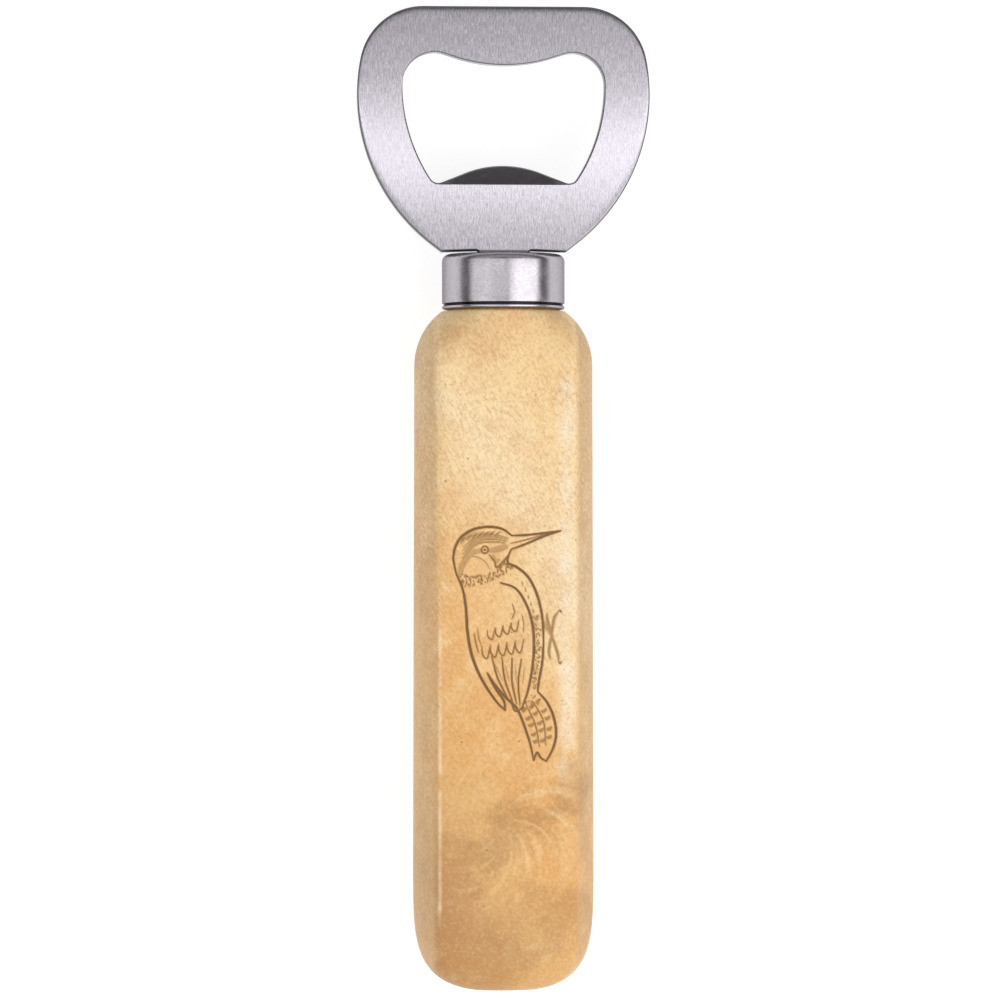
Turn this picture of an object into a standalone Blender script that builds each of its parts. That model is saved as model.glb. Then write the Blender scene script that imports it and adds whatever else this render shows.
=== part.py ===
"""Souvenir bottle opener: a stamped steel head, a drawn steel ferrule and a flat-sided wooden handle.

The opener lies on the handle's back flat. +Y runs from the butt of the handle to the end of the
head, +X is to the right seen from above, and +Z is up. The origin is on the surface that it lies
on, under the middle of the box around the whole opener.

The head and its tang are one plate. The tang passes through a slot in the ferrule's closed end and
is bedded in adhesive in the handle's bore. Pieces that touch keep a gap of GAP.
"""
import math

import bpy

# Driving dimensions, in metres unless the name says otherwise
GAP = 0.0003                     # clearance between pieces that touch
PLATE_THICK = 0.0030
HEAD_LENGTH = 0.0375             # head plate, from its end to the shoulder on the ferrule
FERRULE_LENGTH = 0.00844
HANDLE_LENGTH = 0.10346          # handle, from its shoulder to the butt, without the spigot

HEAD_END_HALF = 0.0122           # half of the straight edge at the end of the head
HEAD_CORNER_RADIUS = 0.0098
HEAD_CORNER_TURN = 79.1          # degrees
HEAD_SIDE_RADIUS = 0.0288
HEAD_SIDE_TURN = 63.2            # degrees
EDGE_ROUND = 0.0003              # tumbled edge of the stamping

MOUTH_TOP = 0.00895              # end of the head to the bump at the top of the mouth
BUMP_RADIUS = 0.024
BUMP_TURN = 18.0                 # degrees
BUMP_FLANK = 0.0017
LOBE_RADIUS = 0.0049
MOUTH_SIDE_RADIUS = 0.0265
MOUTH_SIDE_TURN = 33.0           # degrees
MOUTH_CORNER_RADIUS = 0.0014
ARCH_TURN = 23.0                 # degrees, slope of the lip's flanks
ARCH_RADIUS = 0.015

CREASE_DEPTH = 0.0268            # end of the head to the crease where the lip is pressed back
CREASE_HALF = 0.0100             # half of the crease, which ends in the mouth's corners
LIP_SLOPE = 38.0                 # degrees, front of the lip against the plate
LIP_BACK = 0.0011                # how far the lip stands behind the plate
LIP_RAMP = 0.0012                # length of the slope on the back of the lip
LIP_REACH = 0.0045               # crease to beyond the lip's tip, before the mouth is cut
LIP_END_TAPER = 0.0022           # how far the back of the lip narrows at each end
BACKING_HALF = 0.0085            # half width of the metal behind the lip, before it narrows

TANG_WIDTH = 0.0080
TANG_LENGTH = 0.0355
TANG_CORNER = 0.0015
SHOULDER_RELIEF = 0.0002         # the shoulder bears on its outer corners

FERRULE_RADIUS = 0.00937
FERRULE_WALL = 0.0008
FERRULE_SHOULDER = 0.0011        # rounding of the closed end
GROOVE_FROM_LIP = 0.0009         # open end to the middle of the rolled groove
GROOVE_DEPTH = 0.0002

HALF_THICK = 0.0099              # handle axis to its front and back flats
HALF_WIDTH_TOP = 0.01362         # handle half width near the ferrule
HALF_WIDTH_LOW = 0.01387         # handle half width near the butt
SIDE_RADIUS = 0.01575            # round sides of the handle, in section
SHOULDER_START = 0.0095          # radius of the handle's shoulder beside the ferrule
SHOULDER_RADIUS = 0.0104
BUTT_LENGTH = 0.0155             # stretch of the handle that is rounded to the butt
BUTT_ALONG_POWER = 3.6
BUTT_ACROSS_POWER = 2.8
BORE_RADIUS = 0.0055
BORE_DEPTH = 0.038

ARC_STEP = 5.0                   # degrees between points on an arc
TURNED_STEPS = 96                # steps round a turned piece

# Places worked out from the driving dimensions
LENGTH = HEAD_LENGTH + FERRULE_LENGTH + HANDLE_LENGTH + 2 * GAP
HEAD_END_Y = LENGTH / 2
SHOULDER_Y = HEAD_END_Y - HEAD_LENGTH
FERRULE_TOP_Y = SHOULDER_Y - GAP
FERRULE_LIP_Y = FERRULE_TOP_Y - FERRULE_LENGTH
HANDLE_TOP_Y = FERRULE_LIP_Y - GAP
BUTT_Y = HANDLE_TOP_Y - HANDLE_LENGTH
SPIGOT_RADIUS = FERRULE_RADIUS - FERRULE_WALL - GAP
SPIGOT_END_Y = FERRULE_TOP_Y - FERRULE_WALL - GAP
TANG_END_Y = SHOULDER_Y - TANG_LENGTH
AXIS_Z = HALF_THICK
SIDE_CENTRE = SIDE_RADIUS - HALF_WIDTH_LOW


def clear_scene():
    for thing in list(bpy.data.objects):
        bpy.data.objects.remove(thing, do_unlink=True)


def make_collection(name):
    collection = bpy.data.collections.new(name)
    bpy.context.scene.collection.children.link(collection)
    return collection


def make_material(name, colour, roughness, metallic):
    material = bpy.data.materials.new(name)
    material.use_nodes = True
    shader = material.node_tree.nodes["Principled BSDF"]
    shader.inputs["Base Color"].default_value = (*colour, 1.0)
    shader.inputs["Roughness"].default_value = roughness
    shader.inputs["Metallic"].default_value = metallic
    material.diffuse_color = (*colour, 1.0)
    return material


def move_to(thing, collection):
    """Put an object in one collection only."""
    for owner in list(thing.users_collection):
        owner.objects.unlink(thing)
    collection.objects.link(thing)


def as_cutter(thing, cutters):
    move_to(thing, cutters)
    thing.hide_render = True
    thing.display_type = "WIRE"
    return thing


def add_boolean(thing, tool, operation):
    modifier = thing.modifiers.new(operation.lower() + " " + tool.name, "BOOLEAN")
    modifier.operation = operation
    modifier.solver = "EXACT"
    modifier.object = tool


def walk(start, heading, moves):
    """Points of straight lines and arcs joined end to end, in the XY plane.

    heading is in degrees from +X and grows clockwise. A move is (length,) for a line, or
    (radius, turn) for an arc whose turn is in degrees, positive clockwise.
    """
    x, y = start
    points = [start]
    for move in moves:
        if len(move) == 1:
            x += move[0] * math.cos(math.radians(heading))
            y -= move[0] * math.sin(math.radians(heading))
            points.append((x, y))
            continue
        radius, turn = move
        side = math.copysign(1.0, turn)
        steps = max(2, round(abs(turn) / ARC_STEP))
        start_angle = math.radians(heading)
        for step in range(1, steps + 1):
            angle = math.radians(heading + turn * step / steps)
            across = side * radius * (math.sin(angle) - math.sin(start_angle))
            down = side * radius * (math.cos(start_angle) - math.cos(angle))
            points.append((x + across, y - down))
        x, y = points[-1]
        heading += turn
    return points


def mirrored(half):
    """Close a right-hand half outline, from the top middle to the bottom middle."""
    right = [(x, y) for x, y in half if x > 1e-6]
    left = [(-x, y) for x, y in reversed(right)]
    return right + left


def flat_solid(name, outline, thickness, collection):
    """A flat solid with a 2D outline, centred on z = 0, made a mesh so that it can be cut."""
    curve = bpy.data.curves.new(name + " outline", "CURVE")
    curve.dimensions = "2D"
    curve.fill_mode = "BOTH"
    curve.extrude = thickness / 2
    spline = curve.splines.new("POLY")
    spline.points.add(len(outline) - 1)
    for point, (x, y) in zip(spline.points, outline):
        point.co = (x, y, 0.0, 1.0)
    spline.use_cyclic_u = True
    drawn = bpy.data.objects.new(name + " outline", curve)
    bpy.context.scene.collection.objects.link(drawn)
    bpy.context.view_layer.update()
    mesh = bpy.data.meshes.new_from_object(drawn)
    bpy.data.objects.remove(drawn, do_unlink=True)
    solid = bpy.data.objects.new(name, mesh)
    collection.objects.link(solid)
    bpy.ops.object.select_all(action="DESELECT")
    solid.select_set(True)
    bpy.context.view_layer.objects.active = solid
    bpy.ops.object.mode_set(mode="EDIT")
    bpy.ops.mesh.select_all(action="SELECT")
    bpy.ops.mesh.remove_doubles(threshold=1e-6)
    bpy.ops.mesh.dissolve_limited(angle_limit=math.radians(0.5))
    bpy.ops.mesh.normals_make_consistent(inside=False)
    bpy.ops.object.mode_set(mode="OBJECT")
    return solid


def make_box(name, size, centre, cutters):
    bpy.ops.mesh.primitive_cube_add(size=1.0, location=centre)
    box = bpy.context.object
    box.name = name
    box.scale = size
    bpy.ops.object.transform_apply(location=False, rotation=False, scale=True)
    return as_cutter(box, cutters)


def head_outline():
    """Outer outline of the head plate with its tang, right half from the end of the head down."""
    plate = walk(
        (0.0, 0.0), 0.0,
        [(HEAD_END_HALF,), (HEAD_CORNER_RADIUS, HEAD_CORNER_TURN), (HEAD_SIDE_RADIUS, HEAD_SIDE_TURN)],
    )
    x, y = plate[-1]
    slope = math.radians(HEAD_CORNER_TURN + HEAD_SIDE_TURN - 90.0)
    shoulder_x = x - (y + HEAD_LENGTH) * math.tan(slope)
    tang = walk(
        (TANG_WIDTH / 2, -HEAD_LENGTH + SHOULDER_RELIEF), 90.0,
        [(TANG_LENGTH - TANG_CORNER,), (TANG_CORNER, 90.0)],
    )
    return mirrored(plate + [(shoulder_x, -HEAD_LENGTH)] + tang)


def mouth_outline():
    """The mouth's right half, from the bump at its top round to the tip of the lip."""
    side = walk(
        (0.0, -MOUTH_TOP), 0.0,
        [
            (BUMP_RADIUS, -BUMP_TURN),
            (BUMP_FLANK,),
            (LOBE_RADIUS, BUMP_TURN + 90.0),
            (MOUTH_SIDE_RADIUS, MOUTH_SIDE_TURN),
            (MOUTH_CORNER_RADIUS, 90.0 - MOUTH_SIDE_TURN + ARCH_TURN),
        ],
    )
    # The flank is as long as it takes for the arch to end at the middle.
    arch_half = ARCH_RADIUS * math.sin(math.radians(ARCH_TURN))
    flank = (side[-1][0] - arch_half) / math.cos(math.radians(ARCH_TURN))
    lip = walk(side[-1], 180.0 + ARCH_TURN, [(flank,), (ARCH_RADIUS, -ARCH_TURN)])
    return mirrored(side + lip[1:])


def lip_backing(cutters):
    """The metal pressed out behind the lip: a ramp in side view that narrows towards its ends."""
    back = -PLATE_THICK / 2
    foot = -CREASE_DEPTH
    tip = foot + LIP_REACH
    # The ramp starts inside the plate, LIP_BACK above its back face, and crosses that face at the foot.
    side_view = [
        (foot - LIP_RAMP, 0.0), (tip, 0.0), (tip, back - LIP_BACK), (foot + LIP_RAMP, back - LIP_BACK),
        (foot - LIP_RAMP, back + LIP_BACK),
    ]
    body = lay_across(flat_solid("lip backing", side_view, 2 * CREASE_HALF, cutters))
    above, below = LIP_BACK, back - 2 * LIP_BACK
    rear_view = [
        (-BACKING_HALF, above), (-BACKING_HALF + LIP_END_TAPER, below),
        (BACKING_HALF - LIP_END_TAPER, below), (BACKING_HALF, above),
    ]
    limit = flat_solid("lip backing ends", rear_view, 0.040, cutters)
    limit.rotation_euler = (math.radians(90.0), 0.0, 0.0)
    limit.location = (0.0, HEAD_END_Y - CREASE_DEPTH, AXIS_Z)
    add_boolean(body, as_cutter(limit, cutters), "INTERSECT")
    return as_cutter(body, cutters)


def lay_across(solid):
    """Stand a solid drawn as a side view (y, z) from the end of the head, so that it runs along X."""
    solid.rotation_euler = (math.radians(90.0), 0.0, math.radians(90.0))
    solid.location = (0.0, HEAD_END_Y, AXIS_Z)
    return solid


def lip_wedge(cutters):
    """The space in front of the lip, cut back from the crease."""
    drop = LIP_REACH * math.tan(math.radians(LIP_SLOPE))
    front = PLATE_THICK / 2
    side_view = [
        (-CREASE_DEPTH, front), (-CREASE_DEPTH + LIP_REACH, front - drop),
        (-CREASE_DEPTH + LIP_REACH, front + drop), (-CREASE_DEPTH, front + drop),
    ]
    return as_cutter(lay_across(flat_solid("lip wedge", side_view, 2 * CREASE_HALF, cutters)), cutters)


def make_head(collection, cutters, steel):
    head = flat_solid("opener_head", head_outline(), PLATE_THICK, collection)
    head.location = (0.0, HEAD_END_Y, AXIS_Z)
    mouth = flat_solid("mouth", mouth_outline(), 4 * PLATE_THICK, cutters)
    mouth.location = (0.0, HEAD_END_Y, AXIS_Z)
    add_boolean(head, lip_backing(cutters), "UNION")
    add_boolean(head, as_cutter(mouth, cutters), "DIFFERENCE")
    add_boolean(head, lip_wedge(cutters), "DIFFERENCE")
    weld = head.modifiers.new("weld", "WELD")
    weld.merge_threshold = 0.00002
    bevel = head.modifiers.new("tumbled edges", "BEVEL")
    bevel.width = EDGE_ROUND
    bevel.segments = 2
    bevel.limit_method = "ANGLE"
    bevel.angle_limit = math.radians(50.0)
    head.data.materials.append(steel)
    return head


def make_turned(name, profile, collection, material):
    """Turn a closed profile of (radius, height) round +Z, then lay it along +Y on the axis."""
    mesh = bpy.data.meshes.new(name)
    edges = [(i, (i + 1) % len(profile)) for i in range(len(profile))]
    mesh.from_pydata([(radius, 0.0, height) for radius, height in profile], edges, [])
    turned = bpy.data.objects.new(name, mesh)
    collection.objects.link(turned)
    screw = turned.modifiers.new("turn", "SCREW")
    screw.steps = TURNED_STEPS
    screw.render_steps = TURNED_STEPS
    screw.use_merge_vertices = True
    screw.merge_threshold = 0.00001
    screw.use_smooth_shade = True
    turned.rotation_euler = (math.radians(-90.0), 0.0, 0.0)
    turned.location = (0.0, 0.0, AXIS_Z)
    mesh.materials.append(material)
    return turned


def corner(centre_radius, centre_height, radius, first, last, steps):
    """Points of a rounded corner of a profile, between two angles in degrees."""
    points = []
    for step in range(steps + 1):
        angle = math.radians(first + (last - first) * step / steps)
        points.append((centre_radius + radius * math.cos(angle), centre_height + radius * math.sin(angle)))
    return points


def make_ferrule(collection, cutters, steel):
    """A deep-drawn cup: closed end with a slot for the tang, rolled groove and rounded lip."""
    top, lip = FERRULE_TOP_Y, FERRULE_LIP_Y
    inner = FERRULE_RADIUS - FERRULE_WALL
    lip_round = FERRULE_WALL / 2
    groove = lip + GROOVE_FROM_LIP
    profile = [(0.0, top)]
    profile += corner(FERRULE_RADIUS - FERRULE_SHOULDER, top - FERRULE_SHOULDER, FERRULE_SHOULDER, 90, 0, 6)
    profile += [
        (FERRULE_RADIUS, groove + GROOVE_DEPTH), (FERRULE_RADIUS - GROOVE_DEPTH, groove),
        (FERRULE_RADIUS, groove - GROOVE_DEPTH),
    ]
    profile += corner(inner + lip_round, lip + lip_round, lip_round, 0, -180, 8)
    profile += [(inner, top - FERRULE_WALL), (0.0, top - FERRULE_WALL)]
    ferrule = make_turned("ferrule", profile, collection, steel)
    slot_size = (TANG_WIDTH + 2 * GAP, 4 * FERRULE_WALL, PLATE_THICK + 2 * GAP)
    slot = make_box("ferrule slot", slot_size, (0.0, top - FERRULE_WALL / 2, AXIS_Z), cutters)
    add_boolean(ferrule, slot, "DIFFERENCE")
    return ferrule


def section_point(angle):
    """Point of the handle's full section at an angle round its axis: two flats and two round sides."""
    across, up = math.cos(angle), math.sin(angle)
    side = -SIDE_CENTRE * abs(across) + math.sqrt(SIDE_RADIUS ** 2 - (SIDE_CENTRE * up) ** 2)
    flat = HALF_THICK / max(abs(up), 1e-9)
    reach = min(side, flat)
    return reach * across, reach * up


def section_angles():
    """Angles of the section's points, with one on each crease."""
    crease_x = math.sqrt(SIDE_RADIUS ** 2 - HALF_THICK ** 2) - SIDE_CENTRE
    crease = math.atan2(HALF_THICK, crease_x)
    corners = [-crease, crease, math.pi - crease, math.pi + crease, 2 * math.pi - crease]
    angles = []
    for low, high in zip(corners, corners[1:]):
        steps = 22
        angles += [low + (high - low) * step / steps for step in range(steps)]
    return angles


def handle_stations():
    """(y, radius of the round blank, share of full section, scale) for each ring of the handle."""
    chamfer = 0.0005
    stations = [
        (SPIGOT_END_Y, SPIGOT_RADIUS - chamfer, 0.0, 1.0),
        (SPIGOT_END_Y - chamfer, SPIGOT_RADIUS, 0.0, 1.0),
        (HANDLE_TOP_Y, SPIGOT_RADIUS, 0.0, 1.0),
        (HANDLE_TOP_Y, SHOULDER_START, 0.0, 1.0),
    ]
    rise = HALF_WIDTH_TOP - SHOULDER_START
    start = math.acos(1.0 - rise / SHOULDER_RADIUS)
    for step in range(1, 13):
        angle = start * (1.0 - step / 12)
        y = HANDLE_TOP_Y - SHOULDER_RADIUS * (math.sin(start) - math.sin(angle))
        share = 1.0 - SHOULDER_RADIUS * (1.0 - math.cos(angle)) / rise
        stations.append((y, SHOULDER_START, share, 1.0))
    butt_start = BUTT_Y + BUTT_LENGTH
    body_start = stations[-1][0]
    for step in range(1, 7):
        stations.append((body_start + (butt_start - body_start) * step / 6, SHOULDER_START, 1.0, 1.0))
    for step in range(1, 14):
        angle = math.radians(90.0 * step / 14)
        along = math.sin(angle) ** (2.0 / BUTT_ALONG_POWER)
        across = math.cos(angle) ** (2.0 / BUTT_ACROSS_POWER)
        stations.append((butt_start - BUTT_LENGTH * along, SHOULDER_START, 1.0, across))
    stations.append((BUTT_Y, SHOULDER_START, 1.0, 0.10))
    return stations


def make_handle(collection, cutters, wood):
    """Loft from the round spigot and shoulder to the flat-sided grip, then bore it for the tang."""
    angles = section_angles()
    stations = handle_stations()
    verts = []
    for y, round_radius, share, scale in stations:
        low_share = (HANDLE_TOP_Y - y) / HANDLE_LENGTH
        half_width = HALF_WIDTH_TOP + (HALF_WIDTH_LOW - HALF_WIDTH_TOP) * low_share
        for angle in angles:
            full_x, full_z = section_point(angle)
            full_x *= half_width / HALF_WIDTH_LOW
            x = (1.0 - share) * round_radius * math.cos(angle) + share * full_x
            z = (1.0 - share) * round_radius * math.sin(angle) + share * full_z
            verts.append((x * scale, y, AXIS_Z + z * scale))
    count = len(angles)
    faces = []
    for ring in range(len(stations) - 1):
        for i in range(count):
            j = (i + 1) % count
            faces.append((ring * count + i, ring * count + j, (ring + 1) * count + j, (ring + 1) * count + i))
    faces.append(tuple(reversed(range(count))))
    faces.append(tuple(range((len(stations) - 1) * count, len(stations) * count)))
    mesh = bpy.data.meshes.new("handle")
    mesh.from_pydata(verts, [], faces)
    handle = bpy.data.objects.new("handle", mesh)
    collection.objects.link(handle)
    mesh.materials.append(wood)
    bpy.ops.object.select_all(action="DESELECT")
    handle.select_set(True)
    bpy.context.view_layer.objects.active = handle
    bpy.ops.object.shade_smooth_by_angle(angle=math.radians(25.0))
    mouth_y = SPIGOT_END_Y + 0.002
    bore = make_rod("bore", BORE_RADIUS, SPIGOT_END_Y - BORE_DEPTH, mouth_y)
    add_boolean(handle, as_cutter(bore, cutters), "DIFFERENCE")
    return handle


def make_rod(name, radius, low_y, high_y):
    """A plain cylinder along +Y on the opener's axis."""
    bpy.ops.mesh.primitive_cylinder_add(
        vertices=48, radius=radius, depth=high_y - low_y,
        location=(0.0, (low_y + high_y) / 2, AXIS_Z), rotation=(math.radians(90.0), 0.0, 0.0),
    )
    rod = bpy.context.object
    rod.name = name
    return rod


def make_adhesive(collection, cutters, resin):
    """Cured adhesive that fills the bore round the tang, open at the tang's end of the bore."""
    low_y = SPIGOT_END_Y - BORE_DEPTH + GAP
    adhesive = make_rod("tang_adhesive", BORE_RADIUS - GAP, low_y, SPIGOT_END_Y)
    bpy.ops.object.shade_smooth_by_angle(angle=math.radians(30.0))
    move_to(adhesive, collection)
    pocket_low = TANG_END_Y - GAP
    pocket_high = SPIGOT_END_Y + 0.002
    pocket_size = (TANG_WIDTH + 2 * GAP, pocket_high - pocket_low, PLATE_THICK + 2 * GAP)
    pocket = make_box("tang pocket", pocket_size, (0.0, (pocket_low + pocket_high) / 2, AXIS_Z), cutters)
    add_boolean(adhesive, pocket, "DIFFERENCE")
    adhesive.data.materials.append(resin)
    return adhesive


def main():
    clear_scene()
    opener = make_collection("Souvenir bottle opener")
    cutters = make_collection("Cutters")
    brushed = make_material("brushed stainless steel", (0.62, 0.60, 0.62), 0.34, 1.0)
    drawn = make_material("drawn stainless steel", (0.68, 0.67, 0.66), 0.25, 1.0)
    wood = make_material("lacquered light hardwood", (0.62, 0.42, 0.24), 0.38, 0.0)
    resin = make_material("cured epoxy", (0.45, 0.36, 0.20), 0.30, 0.0)
    make_head(opener, cutters, brushed)
    make_ferrule(opener, cutters, drawn)
    make_handle(opener, cutters, wood)
    make_adhesive(opener, cutters, resin)
    bpy.context.view_layer.update()


main()
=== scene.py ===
# %% [markdown]
# # A souvenir bottle opener
# The opener lies on its back flat on a pale table and is seen from straight above. It has a
# stamped steel head, a drawn steel ferrule, and a wooden handle with a bird burnt into it. The
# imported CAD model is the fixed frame: it says where every piece is. Each visible piece is made
# again here as a finer surface with its own finish.

# %% Load the frame
import math

import bpy
import numpy as np
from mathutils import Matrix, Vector


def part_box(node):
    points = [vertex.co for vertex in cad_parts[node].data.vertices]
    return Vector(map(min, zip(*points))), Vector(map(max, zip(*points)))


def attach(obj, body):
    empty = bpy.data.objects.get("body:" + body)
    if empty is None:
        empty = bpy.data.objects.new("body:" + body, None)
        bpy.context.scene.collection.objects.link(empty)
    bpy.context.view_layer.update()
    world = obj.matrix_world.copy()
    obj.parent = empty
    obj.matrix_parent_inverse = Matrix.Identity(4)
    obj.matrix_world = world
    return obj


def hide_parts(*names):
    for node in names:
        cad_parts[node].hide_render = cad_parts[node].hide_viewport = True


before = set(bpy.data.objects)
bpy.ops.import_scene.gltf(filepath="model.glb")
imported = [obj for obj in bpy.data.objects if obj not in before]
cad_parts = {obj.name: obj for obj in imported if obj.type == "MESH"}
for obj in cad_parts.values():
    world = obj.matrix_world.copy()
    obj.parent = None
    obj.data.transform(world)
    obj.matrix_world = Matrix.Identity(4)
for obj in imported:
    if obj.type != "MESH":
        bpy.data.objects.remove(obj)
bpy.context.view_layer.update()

# %% [markdown]
# Places come from the frame. The head's box gives the end of the opener and the plate's front face,
# the ferrule's box gives the axis and the joint with the wood, and the handle's box gives the flats.
# Everything is in metres, with MM for sizes that read better in millimetres.

# %% Places from the frame
MM = 0.001
head_low, head_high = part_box("opener_head")
ferrule_low, ferrule_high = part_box("ferrule")
handle_low, handle_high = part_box("handle")

AXIS_Z = (ferrule_low[2] + ferrule_high[2]) / 2
END_Y = head_high[1]
BUTT_Y = handle_low[1]
GAP = 0.3 * MM
PLATE = 2 * (head_high[2] - AXIS_Z)
FERRULE_R = (ferrule_high[0] - ferrule_low[0]) / 2
HALF_THICK = handle_high[2] - AXIS_Z
HALF_WIDTH = (handle_high[0] - handle_low[0]) / 2
WOOD_TOP_Y = ferrule_low[1] - GAP
print("plate", round(PLATE / MM, 2), "ferrule radius", round(FERRULE_R / MM, 2),
      "handle half width", round(HALF_WIDTH / MM, 2))

# %% [markdown]
# Every new surface here is a grid of points: rows of rings. Where the rings come back to the first
# one, as on a plate with a hole, the grid closes on itself like a tyre. Otherwise each end is
# closed with one middle point and a fan of triangles. The faces are index arrays, so no loop runs
# over single points.

# %% A grid of rings becomes a mesh
def ring_mesh(name, rings, tyre):
    """Mesh of an array of rings, rows by columns by 3.

    Face (r, c) joins points c and c + 1 of ring r to those of ring r + 1. With tyre, the last ring
    joins the first. Without it, each end ring is closed by a fan to its own mean point.
    """
    rows, columns = rings.shape[:2]
    index = np.arange(rows * columns).reshape(rows, columns)
    following = np.roll(index, -1, axis=1)
    if tyre:
        index_next, following_next = np.roll(index, -1, axis=0), np.roll(following, -1, axis=0)
    else:
        index_next, following_next = index[1:], following[1:]
        index, following = index[:-1], following[:-1]
    quads = np.stack([index, following, following_next, index_next], axis=-1).reshape(-1, 4)
    points = rings.reshape(-1, 3)
    faces = quads.tolist()
    if not tyre:
        first, last = rows * columns, rows * columns + 1
        points = np.vstack([points, rings[0].mean(axis=0), rings[-1].mean(axis=0)])
        start = np.arange(columns)
        turn = np.roll(start, -1)
        top = (rows - 1) * columns
        faces += np.stack([np.full(columns, first), turn, start], axis=-1).tolist()
        faces += np.stack([np.full(columns, last), top + start, top + turn], axis=-1).tolist()
    mesh = bpy.data.meshes.new(name)
    mesh.from_pydata(points.tolist(), [], faces)
    mesh.polygons.foreach_set("use_smooth", np.ones(len(faces), dtype=bool))
    mesh.update()
    piece = bpy.data.objects.new(name, mesh)
    bpy.context.scene.collection.objects.link(piece)
    print(name, "-", len(faces), "faces")
    return piece


# %% [markdown]
# A mesh whose faces point inwards shades wrongly and exports inside out. The signed volume of a
# closed mesh tells which way they point: it is the sum, over triangles, of the corner vectors'
# triple product, over six. If it comes out negative, the faces are flipped once.

# %% Faces outwards
def face_outwards(piece):
    """Flip a closed mesh whose signed volume, the sum of a . (b x c) / 6, is negative."""
    mesh = piece.data
    mesh.calc_loop_triangles()
    corners = np.empty(len(mesh.loop_triangles) * 3, dtype=np.int32)
    mesh.loop_triangles.foreach_get("vertices", corners)
    points = np.empty(len(mesh.vertices) * 3)
    mesh.vertices.foreach_get("co", points)
    a, b, c = points.reshape(-1, 3)[corners.reshape(-1, 3)].transpose(1, 0, 2)
    volume = float(np.einsum("ij,ij->i", a, np.cross(b, c)).sum() / 6)
    if volume < 0:
        mesh.flip_normals()
    print(piece.name, "holds", round(abs(volume) * 1e9), "cubic mm,", len(mesh.loop_triangles), "triangles")


# %% [markdown]
# ## The head
# The head is stamped from 3 mm stainless plate, tumbled so that its edges are soft, and its lip is
# pressed back in a die. Its outline is drawn as a draughtsman would, with lines and arcs that run
# into each other, so a few radii and angles say it all. A Boolean of solids would give hard edges
# and long thin faces; two matched outlines with a grid between them give clean edge rolls instead.

# %% Lines and arcs
def draw(start, heading, moves, step):
    """Points along lines and arcs joined end to end.

    The heading is in degrees, clockwise from +X. A move (length,) is a line; (radius, turn) is an
    arc: from heading h, a turn t moves across by r (sin(h + t) - sin h) and down by
    r (cos h - cos(h + t)), with r negative where the turn is anticlockwise.
    """
    x, y = start
    runs = [np.array([[x, y]])]
    for move in moves:
        if len(move) == 1:
            along = np.linspace(0, move[0], max(2, math.ceil(move[0] / step) + 1))[1:]
            angle = math.radians(heading)
            run = np.column_stack([x + along * math.cos(angle), y - along * math.sin(angle)])
        else:
            radius, turn = math.copysign(move[0], move[1]), move[1]
            count = max(3, math.ceil(abs(math.radians(turn) * move[0]) / step) + 1)
            angle = np.radians(heading + np.linspace(0, turn, count)[1:])
            first = math.radians(heading)
            across = radius * (np.sin(angle) - math.sin(first))
            down = radius * (math.cos(first) - np.cos(angle))
            run = np.column_stack([x + across, y - down])
            heading += turn
        runs.append(run)
        x, y = run[-1]
    return np.vstack(runs)


def spread(points, count):
    """The same line with count points at equal distances along it, ends included."""
    reach = np.concatenate([[0], np.cumsum(np.linalg.norm(np.diff(points, axis=0), axis=1))])
    where = np.linspace(0, reach[-1], count)
    return np.column_stack([np.interp(where, reach, points[:, axis]) for axis in (0, 1)])


# %% [markdown]
# The outline starts at the middle of the head's end. The mouth has a bump in the middle of its top
# edge, which rests on the cap, two lobes beside it, and at its foot an arch: the edge of the lip
# that goes under the cap's skirt. Only the right half is drawn; the left half is its mirror image.

# %% The head's two outlines
STEP = 0.1 * MM
HEAD_LENGTH = 37.5 * MM
TANG_HALF = 4.0 * MM
TANG_LENGTH = 35.5 * MM
TANG_CORNER = 1.5 * MM
CORNER_TURN, FLANK_TURN = 79.1, 63.2
LIP_RADIUS, LIP_TURN = 15 * MM, 23
MOUTH_CORNER = 1.4 * MM
SIDE_COLUMNS, SHOULDER_COLUMNS, TANG_COLUMNS = 190, 36, 60

plate_side = draw((0, 0), 0, [(12.2 * MM,), (9.8 * MM, CORNER_TURN), (28.8 * MM, FLANK_TURN)], STEP)
side_x, side_y = plate_side[-1]
shoulder_lean = math.radians(CORNER_TURN + FLANK_TURN - 90)
shoulder_x = side_x - (side_y + HEAD_LENGTH) * math.tan(shoulder_lean)
plate_side = np.vstack([plate_side, [[shoulder_x, -HEAD_LENGTH]]])
tang_root = (TANG_HALF, -HEAD_LENGTH + 0.2 * MM)
tang_side = draw(
    tang_root, 90, [(TANG_LENGTH - TANG_CORNER,), (TANG_CORNER, 90), (TANG_HALF - TANG_CORNER,)], STEP,
)

mouth_side = draw(
    (0, -8.95 * MM), 0,
    [(24 * MM, -18), (1.7 * MM,), (4.9 * MM, 108), (26.5 * MM, 33), (MOUTH_CORNER, 57)], STEP,
)
mouth_corner = mouth_side[-1]
arch_half = LIP_RADIUS * math.sin(math.radians(LIP_TURN))
corner_end = draw(mouth_corner, 180, [(MOUTH_CORNER, LIP_TURN)], STEP)
flank = (corner_end[-1, 0] - arch_half) / math.cos(math.radians(LIP_TURN))
arch = draw(mouth_corner, 180, [(MOUTH_CORNER, LIP_TURN), (flank,), (LIP_RADIUS, -LIP_TURN)], STEP)
print("mouth", round(2 * mouth_side[:, 0].max() / MM, 1), "mm wide; lip tip",
      round(-arch[-1, 1] / MM, 2), "mm from the end")

# %% [markdown]
# The two outlines are matched point for point. The top of the mouth faces the top of the head, the
# mouth's corner faces the shoulder, and the lip's arch faces the shoulder and the tang. Then each
# column of the grid can run from the mouth across the front, round the outer edge, back across the
# rear face and up the mouth's wall.

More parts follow.
